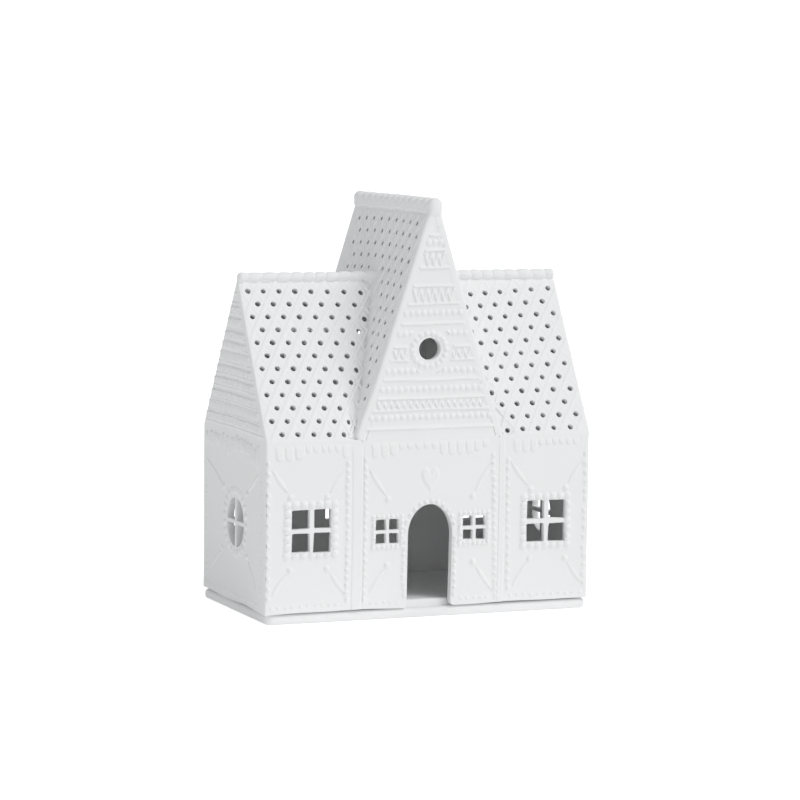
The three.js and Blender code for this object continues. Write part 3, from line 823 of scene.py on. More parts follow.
def doorway(face, left, right, spring, rise, foot, flare):
    """The cutter for the door: half an ellipse on upright jambs that flare out at the foot."""
    middle, half = (left + right) / 2, (right - left) / 2
    arch = np.linspace(0.0, np.pi, 25)
    turn = np.linspace(0.0, np.pi / 2, 7)
    right_foot = np.stack([right + flare * (1 - np.cos(turn[::-1])), foot + flare * (1 - np.sin(turn[::-1]))], -1)
    top = np.stack([middle + half * np.cos(arch), spring + rise * np.sin(arch)], -1)
    left_foot = right_foot[::-1] * (-1, 1) + (2 * middle, 0)
    outline = np.concatenate([[(left - flare, foot - 8), (right + flare, foot - 8)],
                              right_foot, top, left_foot])
    keep = np.append(True, np.linalg.norm(np.diff(outline, axis=0), axis=1) > 1e-6)
    return plug(face, outline[keep], (-6.0, -0.6, -0.25, 0.0, 1.0), (0.0, 0.0, 0.08, 0.3, 1.0))


def frame_of_pearls(sheet, low, high, count, radius, height, power):
    """Pearls along the four sides of a rectangle, so many on a side, corners shared."""
    us = np.linspace(low[0], high[0], count)
    vs = np.linspace(low[1], high[1], count)
    sides = [(us, np.full(count, low[1])), (us, np.full(count, high[1])),
             (np.full(count - 2, low[0]), vs[1:-1]), (np.full(count - 2, high[0]), vs[1:-1])]
    for side_u, side_v in sides:
        sheet.pearls(side_u, side_v, radius, height, stray=0.08, power=power)


def column(sheet, foot, top, pitch, relief, stray=0.1):
    """A row of pearls from one place up to another."""
    count = round((top[1] - foot[1]) / pitch) + 1
    us, vs = np.linspace(foot, top, count).T
    sheet.pearls(us, vs, 1.0, mm(relief.pearl_height), stray=stray)


def side_bay(sheet, side, relief):
    """The relief of the left (-1) or right (1) bay of a front wall: window frame, spears, drips and pearls."""
    pearl = mm(relief.pearl_height)
    if side < 0:
        frame_of_pearls(sheet, (-61.0, 27.35), (-41.4, 47.25), 7, 1.6, 1.15 * pearl, 2.0)
        spears = [((-67, 61.5), (-59.7, 50.6)), ((-37.2, 60.5), (-44.7, 50.0)),
                  ((-66.6, 12), (-59.6, 21.6)), ((-36.5, 10.9), (-44.6, 21.5))]
        column(sheet, (-68.6, 10.5), (-68.6, 64.0), 4.0, relief, 0.25)
        column(sheet, (-35.9, 8.5), (-35.9, 63.0), 3.1, relief)
        sheet.strip(-34.1, -29.4, 0.0, 72.0, mm(relief.strip_height))
        tips = [64.4, 64.4, 64.6, 67.3, 67.4, 67.5, 67.4, 67.2, 65.0]
        widths = [3.8, 3.9, 4.3, 2.9, 3.8, 2.6, 3.0, 3.1, 3.2]
        sheet.drips(-66.0, tips, widths, 70.9, mm(relief.drip_height))
    else:
        frame_of_pearls(sheet, (41.1, 26.8), (60.9, 46.7), 7, 1.6, 1.15 * pearl, 2.0)
        spears = [((35.2, 61.2), (44, 49.9)), ((67, 60.6), (59.8, 50.1)),
                  ((36.9, 10.4), (44.1, 21.6)), ((67.5, 10.6), (60, 21.1))]
        column(sheet, (68.5, 10.5), (68.5, 64.0), 3.7, relief, 0.2)
        column(sheet, (34.5, 9.9), (33.8, 62.0), 3.45, relief)
        sheet.strip(29.5, 32.8, 0.0, 72.0, mm(relief.strip_height))
        tips = [64.6, 64.5, 64.6, 67.3, 67.4, 67.5, 67.4, 67.2, 67.2]
        widths = [3.8, 3.6, 3.6, 3.2, 3.1, 3.1, 3.1, 3.1, 3.1]
        sheet.drips(36.0, tips, widths, 70.9, mm(relief.drip_height))
    for start, end in spears:
        sheet.spear(start, end)
    low, high = (-67.0, -37.0) if side < 0 else (36.0, 67.0)
    count = round((high - low) / 3.0) + 1
    sheet.pearls(np.linspace(low, high, count), np.full(count, 6.6), 0.8, 0.45 * pearl, stray=0.15)


def centre_bay(sheet, relief, door):
    """The relief of the centre bay under the eaves; only the front has the door's border of pearls."""
    pearl = mm(relief.pearl_height)
    column(sheet, (-28.4, 8.5), (-28.4, 64.4), 3.1, relief)
    column(sheet, (29.0, 7.0), (27.2, 64.0), 3.05, relief)
    frame_of_pearls(sheet, (-24.8, 28.9), (-12.6, 41.1), 7, 0.98, pearl, 2.0)
    right = 19.0 if door else 11.5
    frame_of_pearls(sheet, (right - 6.2, 28.9), (right + 6.2, 41.1), 7, 0.98, pearl, 2.0)
    for start, end in [((-26.7, 60.5), (-18.6, 48.2)), ((26.3, 61.1), (18.2, 48.0)),
                       ((-26.0, 10.7), (-18.8, 21.7)), ((27.6, 9.3), (18.9, 21.3))]:
        sheet.spear(start, end)
    sheet.heart(-0.35, 49.4, 8.1, 11.0, 0.5)
    tips = [64.4, 64.4, 65.2, 67.3, 67.5, 67.4, 67.5, 67.3, 64.8, 64.6, 64.6, 64.8, 65.6, 67.2]
    widths = [3.9, 3.8, 3.8, 3.6, 3.6, 3.6, 3.6, 3.4, 3.8, 3.8, 3.8, 3.8, 3.6, 3.4]
    sheet.drips(-26.0, tips, widths, 70.9, mm(relief.drip_height))
    for low, high in ((-25.5, -14.0), (14.0, 25.5)):
        count = round((high - low) / 3.0) + 1
        sheet.pearls(np.linspace(low, high, count), np.full(count, 6.6), 0.8, 0.45 * pearl, stray=0.15)
    if door:
        heights = np.linspace(8.5, 31.2, 9)
        sheet.pearls(-11.0 - 0.7 * np.sin((heights - 8.5) / 8.0), heights, 0.92, pearl, stray=0.1)
        sheet.pearls(np.full(9, 10.8), heights, 0.92, pearl, stray=0.1)
        angle = np.linspace(0.0, np.pi, 14)[1:-1] + 0.05
        sheet.pearls(-0.3 + 10.9 * np.cos(angle), 33.5 + 13.2 * np.sin(angle), 0.92, pearl, stray=0.1)


def gable_rows(sheet, house, relief):
    """The rows on a front gable: piped lines, zigzags and pearls between its two plain borders."""
    pearl, line = mm(relief.pearl_height), mm(relief.line_height)
    apex = house.eaves + house.cross_rise

    def half_at(v):
        return (apex - v) / house.cross_rise * house.half_bay - 2.9

    for v in (153.3, 147.4, 140.5, 133.2, 126.1, 118.2, 109.0, 103.6, 95.9, 88.5, 83.9, 76.6):
        half = half_at(v) + 0.2
        sheet.ledge(v - 0.15, -half, half, 1.1 * line, 1.1)
    for bottom, top in ((141.6, 146.1), (127.3, 131.9), (104.3, 107.6), (84.7, 87.3)):
        half = half_at(top) - 0.6
        sheet.zigzag(bottom, top, -half, half, 2.6, 0.5, 1.15 * line)
    for v in (150.6, 122.5, 114.3, 99.5, 92.2, 81.0):
        half = half_at(v) - 0.7
        count = round(2 * half / 2.6) + 1
        sheet.pearls(np.linspace(-half, half, count), np.full(count, v), 1.25, 0.8 * pearl, stray=0.06)


def clear_round(sheet, u, v, radius):
    """Takes the relief away round a window."""
    where, uu, vv = sheet.window(u - 2 * radius, u + 2 * radius, v - 2 * radius, v + 2 * radius)
    sheet.relief[where] *= np.hypot(uu - u, vv - v) > radius


def centre_wall(context, name, side):
    """The slab of the centre bay with its gable, for the front (-1) or the back (1)."""
    scene = context.scene
    house, relief = House(scene.lantern_sizes), scene.lantern_relief
    face = house.wall(side)
    apex = house.eaves + house.cross_rise
    edges = (Edge(0.08), Edge(0.08), Edge(0.25), Edge(0.5))
    sheet = Sheet(face, (-29.3, 29.4), (house.foot, apex - 4.0), house.slab, edges,
                  mm(scene.lantern_sizes.fine_step), seed=5 + side)
    sheet.shift = (side * 0.33, 0.3)
    centre_bay(sheet, relief, side < 0)
    sheet.shift = (0.0, 0.0)
    gable_rows(sheet, house, relief)
    step = 1.0 - smooth((sheet.v[:, None] - house.eaves + 0.4) / 0.9)
    sheet.base += 0.05 * (step - 1.0)
    window_u, window_v = -0.9, 108.0
    clear_round(sheet, window_u, window_v, 9.7)
    circle = ring(18)
    sheet.pearls(window_u - 0.3 + 7.1 * circle[:, 0], window_v - 0.2 + 6.6 * circle[:, 1], 1.2,
                 0.9 * mm(relief.pearl_height), 0.05)
    cutters = [plug(face, ring(40) * 4.4 + (window_u, window_v),
                    (-6.0, -0.8, -0.3, 0.0, 1.5), (0, 0, 0.1, 0.35, 1.2))]
    random = np.random.default_rng(40 + side)
    windows = Windows(side)
    cutters.append(join([panes(face, windows.small_left, random), panes(face, windows.small_right, random)]))
    cutters.append(join([pocket(face, windows.small_left), pocket(face, windows.small_right)]))
    if side < 0:
        cutters.append(doorway(face, -9.95, 9.1, 33.5, 12.1, house.foot, 1.8))
    for slope_side in (-1, 1):
        slope = house.cross(slope_side)
        cutters.append(half_space(slope.point - slope.normal * house.slab * 0.5, slope.normal))
    material = clay_material("bisque_wall")
    build_sheet(name, sheet, cutters, scene.lantern_sizes, material)


def side_wall(context, name, side, bay):
    """The slab of a side bay of the front (-1) or back (1) wall, left (-1) or right (1) as seen from outside."""
    scene = context.scene
    house, relief = House(scene.lantern_sizes), scene.lantern_relief
    face = house.wall(side)
    corner = Edge(house.corner, 90.0, shared=True)
    eaves = Edge(3.0, house.eaves_turn, shared=True)
    inner = Edge(0.08)
    if bay < 0:
        across, edges = (-house.half_width, -29.3), (corner, inner, Edge(0.25), eaves)
    else:
        across, edges = (29.4, house.half_width), (inner, corner, Edge(0.25), eaves)
    sheet = Sheet(face, across, (house.foot, house.eaves), house.slab, edges,
                  mm(scene.lantern_sizes.fine_step), seed=11 * side + bay + 30)
    sheet.shift = (side * 0.33, 0.3)
    side_bay(sheet, bay, relief)
    windows = Windows(side)
    window = windows.large_left if bay < 0 else windows.large_right
    random = np.random.default_rng(60 + 3 * side + bay)
    cutters = [panes(face, window, random), pocket(face, window)]
    build_sheet(name, sheet, cutters, scene.lantern_sizes, clay_material("bisque_wall"))


def end_wall(context, name, side):
    """The slab of the left (-1) or right (1) end with its gable."""
    scene = context.scene
    house, relief = House(scene.lantern_sizes), scene.lantern_relief
    face = house.end(side)
    depth = house.half_depth
    apex = house.eaves + house.main_rise
    corner = Edge(house.corner, 90.0, shared=True)
    sheet = Sheet(face, (-depth, depth), (house.foot, apex), house.slab,
                  (corner, corner, Edge(0.25), Edge(0.5)), mm(scene.lantern_sizes.fine_step), seed=21 + side)
    sheet.shift = (-0.8, 0.3) if side < 0 else (-1.4, -0.5)
    end_relief(sheet, house, relief)
    sheet.round_slope((depth, house.eaves), (0.0, apex), corner)
    sheet.round_slope((0.0, apex), (-depth, house.eaves), corner)
    window, radius = ((1.0, 36.5), 9.8) if side < 0 else ((0.4, 35.7), 8.7)
    parts = []
    for across in (-1, 1):
        for up in (-1, 1):
            arc = np.linspace(0.0, np.pi / 2, 12)
            bar = 0.85
            outline = np.stack([np.cos(arc), np.sin(arc)], -1) * (radius - bar) + bar
            outline = np.concatenate([outline, [(bar, bar)]]) * (across, up)
            if across * up < 0:
                outline = outline[::-1]
            parts.append(plug(face, rounded(outline, 0.25, 2) + window, (-6.0, -0.6, -0.2, 0.0, 1.5),
                              (0.0, 0.0, 0.06, 0.25, 0.8)))
    cutters = [join(parts)]
    for slope_side in (-1, 1):
        slope = house.slope(slope_side)
        cutters.append(half_space(slope.point + face.point, slope.normal - face.normal))
    build_sheet(name, sheet, cutters, scene.lantern_sizes, clay_material("bisque_wall"))


def end_relief(sheet, house, relief):
    """The relief of an end wall: petals round the window, spears, icicles, and the gable's many rows."""
    pearl, line = mm(relief.pearl_height), mm(relief.line_height)
    apex = house.eaves + house.main_rise
    sway = 0.35

    def half_at(v):
        return (apex - v) / house.main_rise * house.half_depth - 2.0

    window_u, window_v = 1.8, 36.2
    count = 23
    for angle in np.arange(count) * 2 * np.pi / count:
        angle += sheet.random.normal(0.0, 0.02)
        sheet.pearl(window_u + 12.9 * math.cos(angle), window_v + 12.9 * math.sin(angle), 1.3, 0.8 * pearl,
                    long=1.45, angle=angle)
    for start, end in [((-31.6, 58.1), (-12.0, 49.2)), ((29.5, 58.3), (16.2, 49.3)),
                       ((-29.2, 12.7), (-13.2, 23.5)), ((27.2, 12.6), (16.1, 24.0))]:
        sheet.spear(start, end, half=0.8)
    for v in (73.9, 78.8, 83.9, 89.4, 94.6, 99.5, 105.2, 109.6, 115.0, 119.6, 124.0, 128.0):
        half = half_at(v)
        if half > 1.5:
            sheet.line(v + 0.3, 0.5, 0.65 * line, -half, half, sway=sway, fade=1.2)
    for bottom, top in ((75.8, 78.0), (85.4, 87.4), (91.0, 92.9), (96.2, 97.9), (106.3, 107.9), (110.6, 112.2),
                        (116.2, 117.8), (121.0, 122.6)):
        half = half_at(top) - 0.5
        if half > 1.5:
            sheet.strokes(bottom, top, -half, half, 2.3, 0.55, 1.9 * line, sway=sway)
    for bottom, top in ((80.0, 83.0), (100.6, 103.9)):
        half = half_at(top) - 0.5
        sheet.zigzag(bottom, top, -half, half, 2.3, 0.45, 1.3 * line, sway=sway)
    icicles = ((-31.9, 69.2, 65.9), (-26.0, 70.1, 65.6), (-21.5, 69.8, 67.0), (-17.7, 69.6, 65.5), (-12.3, 70.5, 65.2),
               (-7.0, 70.0, 62.7), (-1.5, 70.1, 65.3), (3.7, 71.1, 65.4), (7.0, 70.1, 65.8), (10.3, 70.7, 66.0),
               (14.1, 70.4, 65.5), (17.5, 70.0, 65.6), (21.5, 69.9, 62.7), (25.9, 68.2, 61.8), (29.0, 69.9, 61.5))
    for u, top, bottom in icicles:
        sheet.bar((u + 0.3, bottom), (u - 0.3, top), 0.7, 1.0, taper=0.2, power=5.0)
    random = sheet.random
    for edge in (-32.6, 33.0):
        count = 38
        for v in np.linspace(8.0, 60.0, count):
            sheet.pearl(edge + random.normal(0.0, 0.25), v + random.normal(0.0, 0.3),
                        random.uniform(0.25, 0.5), random.uniform(0.15, 0.5))
    count = 30
    for u in np.linspace(-33.0, 33.0, count):
        sheet.pearl(u, 6.6 + random.normal(0.0, 0.1), 0.55, 0.4, long=1.6, angle=math.pi / 2)


class LANTERN_OT_walls(bpy.types.Operator):
    """Builds the six slabs of the front and back walls and the two end walls."""

    bl_idname = "lantern.walls"
    bl_label = "Walls"

    def execute(self, context):
        centre_wall(context, "front_gable_wall", -1)
        centre_wall(context, "back_gable_wall", 1)
        side_wall(context, "front_left_wall", -1, -1)
        side_wall(context, "front_right_wall", -1, 1)
        side_wall(context, "back_right_wall", 1, -1)
        side_wall(context, "back_left_wall", 1, 1)
        end_wall(context, "left_gable_wall", -1)
        end_wall(context, "right_gable_wall", 1)
        return {"FINISHED"}


def pierce(face, places, radius, random, rim=1.8):
    """Cutters for round holes, each a little out of round, with a thin rim that opens out behind."""
    parts = []
    for u, v in places:
        size = radius * random.uniform(0.94, 1.06)
        lean = random.uniform(0.0, np.pi)
        squash = random.uniform(0.94, 1.0)
        circle = ring(16)
        turned = np.stack([circle[:, 0] * math.cos(lean) - circle[:, 1] * squash * math.sin(lean),
                           circle[:, 0] * math.sin(lean) + circle[:, 1] * squash * math.cos(lean)], -1)
        parts.append(plug(face, turned * size + (u, v), (-6.0, -rim - 0.4, -rim, -0.2, 0.05, 1.2),
                          (0.7, 0.7, 0.0, 0.0, 0.12, 0.8)))
    return join(parts)


def roof_quarter(context, name, side, bay):
    """A quarter of the long roof: front (-1) or back (1), left (-1) or right (1) as seen from outside."""
    scene = context.scene
    house, relief = House(scene.lantern_sizes), scene.lantern_relief
    face = house.slope(side)
    eaves = Edge(3.0, house.eaves_turn, shared=True)
    corner = Edge(house.corner, 90.0, shared=True)
    plain = Edge(0.3)
    mitre = Edge(0.3, 2 * math.degrees(math.atan2(house.main_rise, house.half_depth)), shared=True)
    outer = house.half_width
    top = house.main_slope
    if bay < 0:
        across, edges = (-outer, -9.0), (corner, plain, eaves, mitre)
        pattern = Pattern(-62.89, 3.106, 0.0192, -0.017, 0.0116, 3.32, 5.744, -0.095, 0.0045, -0.0027)
    else:
        across, edges = (9.0, outer), (plain, corner, eaves, mitre)
        pattern = Pattern(61.84, 3.707, 0.0228, 0.047, 0.0010, 2.65, 5.771, 0.023, 0.0168, -0.0031)
    sheet = Sheet(face, across, (0.0, top), house.slab, edges, mm(scene.lantern_sizes.roof_step), seed=3)
    edge_distance = outer - np.abs(sheet.u[None, :])
    cover = smooth((edge_distance - 0.9) / 0.5) * smooth((sheet.v[:, None] - 0.9) / 0.5)
    cross = house.cross(1 if face.across[0] * bay > 0 else -1)
    grid = face.place(sheet.u[None, :], sheet.v[:, None], np.zeros((1, 1)))
    near = smooth(1.0 - (grid - cross.point) @ cross.normal / 8.0)
    sheet.base -= 1.7 * near
    cover = cover * (1.0 + 4.0 * near)
    sheet.lattice(pattern, mm(relief.lattice_half), mm(relief.lattice_height), cover, 0.5 + 0.5 * near)
    places = pattern.holes(20, 12 if side < 0 else 11)
    world = face.place(places[:, 0], places[:, 1], np.zeros(len(places)))
    clear = (world - cross.point) @ cross.normal
    nearest = 3.0 - 1.5 * smooth((places[:, 1] - 15.0) / 15.0)
    inside = (np.abs(places[:, 0]) < outer - 2.4) & (places[:, 0] * bay > 0) & (places[:, 1] < top - 2.5)
    random = np.random.default_rng(70 + side + 2 * bay)
    cutters = [pierce(face, places[(clear > nearest) & inside], mm(relief.hole_radius), random)]
    cutters.append(half_space(cross.point - cross.normal, -cross.normal))
    build_sheet(name, sheet, cutters, scene.lantern_sizes, clay_material("bisque_roof"))


def cross_slope(context, name, side):
    """A slope of the cross roof, left (-1) or right (1), which the long roof runs into from both ends."""
    scene = context.scene
    house, relief = House(scene.lantern_sizes), scene.lantern_relief
    face = house.cross(side)
    end = house.half_depth + 0.05
    ends = (-end - ROLL_OVERHANG, end) if side < 0 else (-end, end + ROLL_OVERHANG)
    top = house.cross_slope - 5.6
    round_end = Edge(1.1)
    sheet = Sheet(face, ends, (0.0, top), house.slab, (round_end, round_end, Edge(0.2), Edge(0.2)),
                  mm(scene.lantern_sizes.roof_step), seed=8)
    pattern = Pattern(3.22, 3.054, -0.0028, -0.310, 0.0514, 6.29, 5.204, 0.079, -0.0044, -0.0101)
    cover = smooth((end - np.abs(sheet.u[None, :]) - 1.3) / 0.5) * smooth((top - 3.0 - sheet.v[:, None]) / 1.0)
    sheet.lattice(pattern, mm(relief.lattice_half), 2.0 * mm(relief.lattice_height), cover)
    places = pattern.holes(16, 17)
    places = places[np.abs(places[:, 0]) < end - 3.4]
    places[:, 0] = np.clip(places[:, 0], 5.0 - end, end - 5.2)
    world = face.place(places[:, 0], places[:, 1], np.zeros(len(places)))
    roof_here = house.eaves + house.main_rise * (1.0 - np.abs(world[:, 1]) / house.half_depth)
    keep = (world[:, 2] - roof_here) > np.where(places[:, 1] < 40.0, 4.8, 7.0)
    random = np.random.default_rng(90 + side)
    cutters = [pierce(face, places[keep], 0.85 * mm(relief.hole_radius), random, 0.6)]
    sunk = 2.2
    front = house.slope(-1)
    peak = house.eaves + house.main_rise - sunk / front.normal[2]
    reach = 45.0
    fall = reach * house.main_rise / house.half_depth
    section = Face((0.0, 0.0, 0.0), AXIS_Y, AXIS_Z)
    outline = np.array([(-reach, peak - fall - 20.0), (reach, peak - fall - 20.0), (reach, peak - fall),
                        (0.0, peak), (-reach, peak - fall)])
    cutters.append(plug(section, outline, (-60.0, 60.0), (0.0, 0.0)))
    build_sheet(name, sheet, cutters, scene.lantern_sizes, clay_material("bisque_roof"))


class LANTERN_OT_roofs(bpy.types.Operator):
    """Builds the four quarters of the long roof and the two slopes of the cross roof."""

    bl_idname = "lantern.roofs"
    bl_label = "Roofs"

    def execute(self, context):
        roof_quarter(context, "main_roof_front_left", -1, -1)
        roof_quarter(context, "main_roof_front_right", -1, 1)
        roof_quarter(context, "main_roof_back_right", 1, -1)
        roof_quarter(context, "main_roof_back_left", 1, 1)
        cross_slope(context, "cross_roof_left", -1)
        cross_slope(context, "cross_roof_right", 1)
        return {"FINISHED"}


def tube(start, direction, side, along, angles, radius):
    """A closed surface round an axis: at each distance along it, a ring whose radius depends on the angle.

    Angle 0 points up and a quarter turn points to the side given. Rows of radius follow the distances.
    """
    up = np.cross(direction, side)
    if up[2] < 0:
        up = -up
    spokes = np.cos(angles)[:, None] * up + np.sin(angles)[:, None] * side
    points = (np.asarray(start) + along[:, None, None] * np.asarray(direction)
              + radius[:, :, None] * spokes[None, :, :])
    rows, columns = radius.shape
    index = np.arange(rows * columns).reshape(rows, columns)
    turned = np.roll(index, -1, 1)
    quads = np.stack([index[:-1], turned[:-1], turned[1:], index[1:]], -1).reshape(-1, 4)
    caps = []
    for row, flip in ((index[0], True), (index[-1], False)):
        fan = np.stack([np.full(columns - 2, row[0]), row[1:-1], row[2:]], -1)
        caps.append(fan[:, ::-1] if flip else fan)
    points = points.reshape(-1, 3)
    handed = np.dot(np.cross(up, side), direction) > 0
    faces = [quads, np.concatenate(caps)]
    if not handed:
        faces = [face[:, ::-1] for face in faces]
    return points, faces


def cross_roll(context):
    """The roll on the cross ridge: a fat rope of round lobes over an upright skirt on both slopes.

    Above its middle each ring is the rope's circle, whose radius falls into a sharp groove between one
    lobe and the next, by a half circle along each; the lobes lean a little. Below, it is the lesser of two lines: upright at the rope's radius, and level at the
    skirt's depth. At its front and back it closes in a plain round end.
    """
    scene = context.scene
    house = House(scene.lantern_sizes)
    radius = (ROLL_HIGH[0] - ROLL_LOW[0]) / 2
    centre = ROLL_HIGH[2] - radius
    half_length = ROLL_HIGH[1] - 0.1
    along = np.linspace(-half_length, half_length + ROLL_OVERHANG, 480)
    angles = np.linspace(0.0, 2 * np.pi, 73)[:-1]
    t, a = np.meshgrid(along, angles, indexing="ij")
    a = (a + np.pi) % (2 * np.pi) - np.pi
    pitch = 6.15
    phase = (t + 0.8 * np.sin(t / 9.0)) / pitch + 0.06 * a + 0.3
    lobe = np.sqrt(1.0 - (2.0 * (phase % 1.0) - 1.0) ** 2)
    from_end = np.minimum(t - along[0], along[-1] - t)
    down = np.abs(a) - np.pi / 2
    deep = 0.8 - 0.14 * smooth(np.abs(a) / 1.2)
    deep = deep * smooth((from_end - 1.6) / 1.8) * (1.0 - 0.9 * smooth((down + 0.3) / 0.7))
    rope = radius * (1.0 - deep * (1.0 - lobe))
    depth = 3.6 + 0.25 * np.sin(t / 2.7) + 0.2 * np.sin(t / 1.9 + 1.0) + 1.5 * smooth((-32.5 - t) / 3.0)
    upright = 0.98 * radius / np.maximum(np.cos(down), 0.05)
    level = depth / np.maximum(np.sin(down), 0.05)
    skirt = (upright ** -8 + level ** -8) ** (-1 / 8)
    skirt = skirt * (1.0 - 0.04 * (1.0 - lobe))
    ring_radius = np.where(down > 0.0, rope + smooth(down / 0.35) * (skirt - rope), rope)
    near_end = np.clip(from_end / 1.7, 0.0, 1.0)
    ring_radius = ring_radius * np.sqrt(np.clip(1.0 - (1.0 - near_end) ** 2, 0.0004, 1.0))
    solid = tube((0.0, 0.0, centre + 0.25), AXIS_Y + 0.006 * AXIS_Z, AXIS_X, along, angles, ring_radius)
    thing = make_object("cross_roll", solid)
    move_points(thing, lambda points: uneven(points, mm(scene.lantern_sizes.uneven), house.foot))
    finish_piece(thing, "house", ["cross_ridge"], clay_material("bisque_piping"))


def bead_roll(context, name, side):
    """A roll of soft beads on the long ridge: rings whose radius swells by a half circle at each bead."""
    scene = context.scene
    house = House(scene.lantern_sizes)
    low, high = corners(name)
    radius = (high[1] - low[1]) / 2
    centre = high[2] - radius + 0.25 + 0.25 * side
    outer = max(abs(low[0]), abs(high[0]))
    inner = min(abs(low[0]), abs(high[0])) - 1.0
    along = np.linspace(inner, outer, 260)
    angles = np.linspace(0.0, 2 * np.pi, 49)[:-1]
    t, a = np.meshgrid(along, angles, indexing="ij")
    a = (a + np.pi) % (2 * np.pi) - np.pi
    phase = (t + 0.9 * np.sin(t / 6.5 + 0.8)) / 5.5 + 0.1 * np.cos(a) + 0.2
    bead = np.sqrt(1.0 - (2.0 * (phase % 1.0) - 1.0) ** 2)
    ring_radius = radius * (0.72 + 0.3 * bead + 0.02 * np.sin(t / 1.7 + a))
    near_end = np.clip((outer - t) / 1.6, 0.0, 1.0)
    ring_radius = ring_radius * np.sqrt(np.clip(1.0 - (1.0 - near_end) ** 2, 0.0004, 1.0))
    solid = tube((0.0, 0.0, centre), side * AXIS_X, AXIS_Y, along, angles, ring_radius)
    thing = make_object(name + "_beads", solid)
    move_points(thing, lambda points: uneven(points, mm(scene.lantern_sizes.uneven), house.foot))
    finish_piece(thing, "house", [name], clay_material("bisque_piping"))


class LANTERN_OT_rolls(bpy.types.Operator):
    """Builds the lobed roll on the cross ridge and the two beaded rolls on the long ridge."""

    bl_idname = "lantern.rolls"
    bl_label = "Ridge rolls"

    def execute(self, context):
        cross_roll(context)
        bead_roll(context, "main_ridge_left", -1)
        bead_roll(context, "main_ridge_right", 1)
        return {"FINISHED"}


def rounded_rectangle(half_x, half_y, radius, steps=8):
    """The outline of a rectangle with round corners, anticlockwise."""
    arc = np.linspace(0.0, np.pi / 2, steps + 1)
    parts = []
    for quarter, (sx, sy) in enumerate(((1, 1), (-1, 1), (-1, -1), (1, -1))):
        angle = arc + quarter * np.pi / 2
        parts.append(np.stack([sx * (half_x - radius) + radius * np.cos(angle),
                               sy * (half_y - radius) + radius * np.sin(angle)], -1))
    return np.concatenate(parts)


def round_profile(start, end, turn_up, steps=6):
    """A quarter circle between two points of a profile, bulging outwards and up or down."""
    t = np.linspace(0.0, np.pi / 2, steps + 1)
    if turn_up:
        return np.stack([start[0] + (end[0] - start[0]) * (1 - np.cos(t)), start[1] + (end[1] - start[1]) * np.sin(t)], -1)
    return np.stack([start[0] + (end[0] - start[0]) * np.sin(t), start[1] + (end[1] - start[1]) * (1 - np.cos(t))], -1)


class LANTERN_OT_tray(bpy.types.Operator):
    """Builds the tray: a profile of insets and heights carried round a rounded rectangle."""

    bl_idname = "lantern.tray"
    bl_label = "Tray"

    def execute(self, context):
        half_x, half_y, top = TRAY_HIGH
        slab_top = WALL_LOW[2]
        profile = np.concatenate([
            round_profile((1.6, 0.0), (0.0, 1.3), False),
            round_profile((0.0, 2.4), (1.5, slab_top - 0.05), True),
            [(3.2, slab_top)],
            round_profile((3.7, top - PLINTH_DROP - 0.9), (4.6, top - PLINTH_DROP), True)])
        corner = 3.0
        rings = []
        for inset, z in profile:
            radius = max(corner - inset, 0.3)
            outline = rounded_rectangle(half_x - inset, half_y - inset, radius)
            outline[:, 0] += 0.3 + 0.7 * np.sign(outline[:, 0])
            rings.append(np.column_stack([outline, np.full(len(outline), z)]))
        count = len(rings[0])
        index = np.arange(count * len(rings)).reshape(len(rings), count)
        turned = np.roll(index, -1, 1)
        quads = np.stack([index[:-1], turned[:-1], turned[1:], index[1:]], -1).reshape(-1, 4)
        fan = np.arange(1, count - 1)
        low = np.stack([np.zeros_like(fan), fan + 1, fan], -1)
        high = index[-1, 0] + np.stack([np.zeros_like(fan), fan, fan + 1], -1)
        tray = make_object("tray_slab", (np.concatenate(rings), [quads, np.concatenate([low, high])]))
        finish_piece(tray, "tray", ["tray"], clay_material("bisque_tray"), 35.0)
        return {"FINISHED"}


CAMERA_PLACE = (-499.93, -1171.02, 209.39)
CAMERA_YAW, CAMERA_PITCH, CAMERA_ROLL = 23.190, 5.621, 0.834
CAMERA_LENS = 140.35


def add_camera(context):
    """The camera of the photograph: forward is turned from +Y towards +X by the yaw, and down by the pitch.

    Then the camera is rolled about it.
    """
    yaw, pitch, roll = (math.radians(angle) for angle in (CAMERA_YAW, CAMERA_PITCH, CAMERA_ROLL))
    forward = Vector((math.sin(yaw) * math.cos(pitch), math.cos(yaw) * math.cos(pitch), -math.sin(pitch)))
    right = Vector((math.cos(yaw), -math.sin(yaw), 0.0))
    up = right.cross(forward)
    rolled_right = right * math.cos(roll) + up * math.sin(roll)
    rolled_up = up * math.cos(roll) - right * math.sin(roll)
    camera = bpy.data.objects.new("camera", bpy.data.cameras.new("camera"))
    camera.data.lens = CAMERA_LENS
    camera.data.sensor_width = 36.0
    camera.data.clip_start = 0.05
    matrix = Matrix((rolled_right, rolled_up, -forward)).transposed().to_4x4()
    matrix.translation = Vector(CAMERA_PLACE) * MM
    camera.matrix_world = matrix
    context.scene.collection.objects.link(camera)
    context.scene.camera = camera


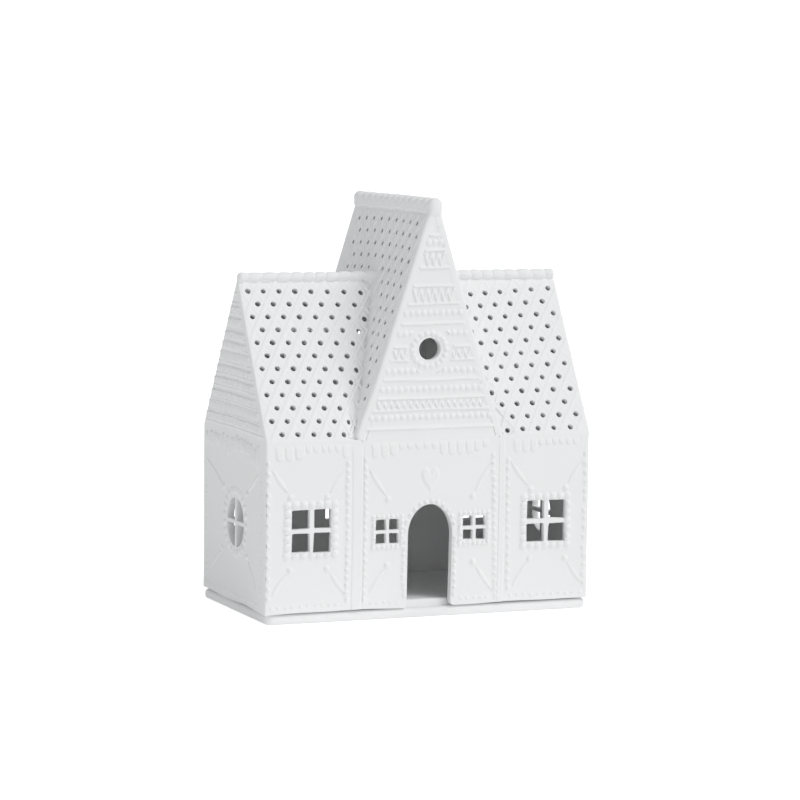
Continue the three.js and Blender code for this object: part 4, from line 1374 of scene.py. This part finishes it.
class LANTERN_OT_stage(bpy.types.Operator):
    """Sets the plain pale floor, the even white surroundings, the key light and the camera."""

    bl_idname = "lantern.stage"
    bl_label = "Stage"

    def sun(self, scene, name, strength, angle, direction):
        """A sun lamp that shines from a direction, as soft as a lamp of so many degrees."""
        lamp = bpy.data.objects.new(name, bpy.data.lights.new(name, "SUN"))
        lamp.data.energy = strength
        lamp.data.angle = math.radians(angle)
        lamp.rotation_euler = Vector(direction).to_track_quat("Z", "Y").to_euler()
        scene.collection.objects.link(lamp)

    def execute(self, context):
        scene = context.scene
        clay = scene.lantern_clay
        scene.view_settings.view_transform = "Standard"
        world = bpy.data.worlds.new("white_room")
        world.use_nodes = True
        background = world.node_tree.nodes["Background"]
        background.inputs["Color"].default_value = (0.985, 0.992, 1.0, 1.0)
        nodes = Nodes(world.node_tree)
        seen = nodes.add("ShaderNodeLightPath", output="Is Camera Ray")
        strength = clay.sky + seen * (1.2 - clay.sky)
        world.node_tree.links.new(strength.socket, background.inputs["Strength"])
        scene.world = world
        size = 3000.0
        ground = Face((0.0, 0.0, 0.0), AXIS_X, AXIS_Y)
        steps = np.linspace(-size, size, 9)
        uu, vv = np.meshgrid(steps, steps)
        index = np.arange(uu.size).reshape(uu.shape)
        quads = np.stack([index[:-1, :-1], index[:-1, 1:], index[1:, 1:], index[1:, :-1]], -1).reshape(-1, 4)
        floor = make_object("floor", (ground.place(uu, vv, 0.0 * uu).reshape(-1, 3), [quads]))
        material = bpy.data.materials.new("floor_white")
        material.use_nodes = True
        shader = material.node_tree.nodes["Principled BSDF"]
        shader.inputs["Base Color"].default_value = rgba(clay.floor)
        shader.inputs["Emission Color"].default_value = rgba(clay.floor)
        floor_nodes = Nodes(material.node_tree)
        seen = floor_nodes.add("ShaderNodeLightPath", output="Is Camera Ray")
        glow = clay.floor_glow + seen * clay.floor_white
        material.node_tree.links.new(glow.socket, shader.inputs["Emission Strength"])
        shader.inputs["Roughness"].default_value = 0.9
        shader.inputs["Specular IOR Level"].default_value = 0.0
        floor.data.materials.append(material)
        self.sun(scene, "key_light", clay.key, 28.0, (0.40, -0.45, 0.80))
        self.sun(scene, "fill_light", clay.fill, 50.0, (-0.15, -0.87, 0.47))
        add_camera(context)
        return {"FINISHED"}


class LANTERN_PT_panel(bpy.types.Panel):
    """Lists the sizes and the steps."""

    bl_idname = "LANTERN_PT_panel"
    bl_label = "Gingerbread House Lantern"
    bl_space_type = "VIEW_3D"
    bl_region_type = "UI"
    bl_category = "Lantern"

    def draw(self, context):
        for group in (context.scene.lantern_sizes, context.scene.lantern_relief, context.scene.lantern_clay):
            box = self.layout.box()
            for name in group.__annotations__:
                box.prop(group, name)
        for operator in OPERATORS:
            self.layout.operator(operator.bl_idname)


GROUPS = {"lantern_sizes": HouseSizes, "lantern_relief": ReliefSizes, "lantern_clay": ClaySettings}
OPERATORS = (LANTERN_OT_stage, LANTERN_OT_tray, LANTERN_OT_walls, LANTERN_OT_roofs, LANTERN_OT_rolls)
CLASSES = (*GROUPS.values(), *OPERATORS, LANTERN_PT_panel)


def register():
    """Registers the classes and puts the settings on the scene."""
    for kind in CLASSES:
        bpy.utils.register_class(kind)
    for name, group in GROUPS.items():
        setattr(bpy.types.Scene, name, bpy.props.PointerProperty(type=group))


def unregister():
    """Takes the settings and the classes away again."""
    for name in GROUPS:
        delattr(bpy.types.Scene, name)
    for kind in reversed(CLASSES):
        bpy.utils.unregister_class(kind)


def main():
    register()
    bpy.ops.lantern.stage()
    bpy.ops.lantern.tray()
    bpy.ops.lantern.walls()
    bpy.ops.lantern.roofs()
    bpy.ops.lantern.rolls()


if __name__ == "__main__":
    main()
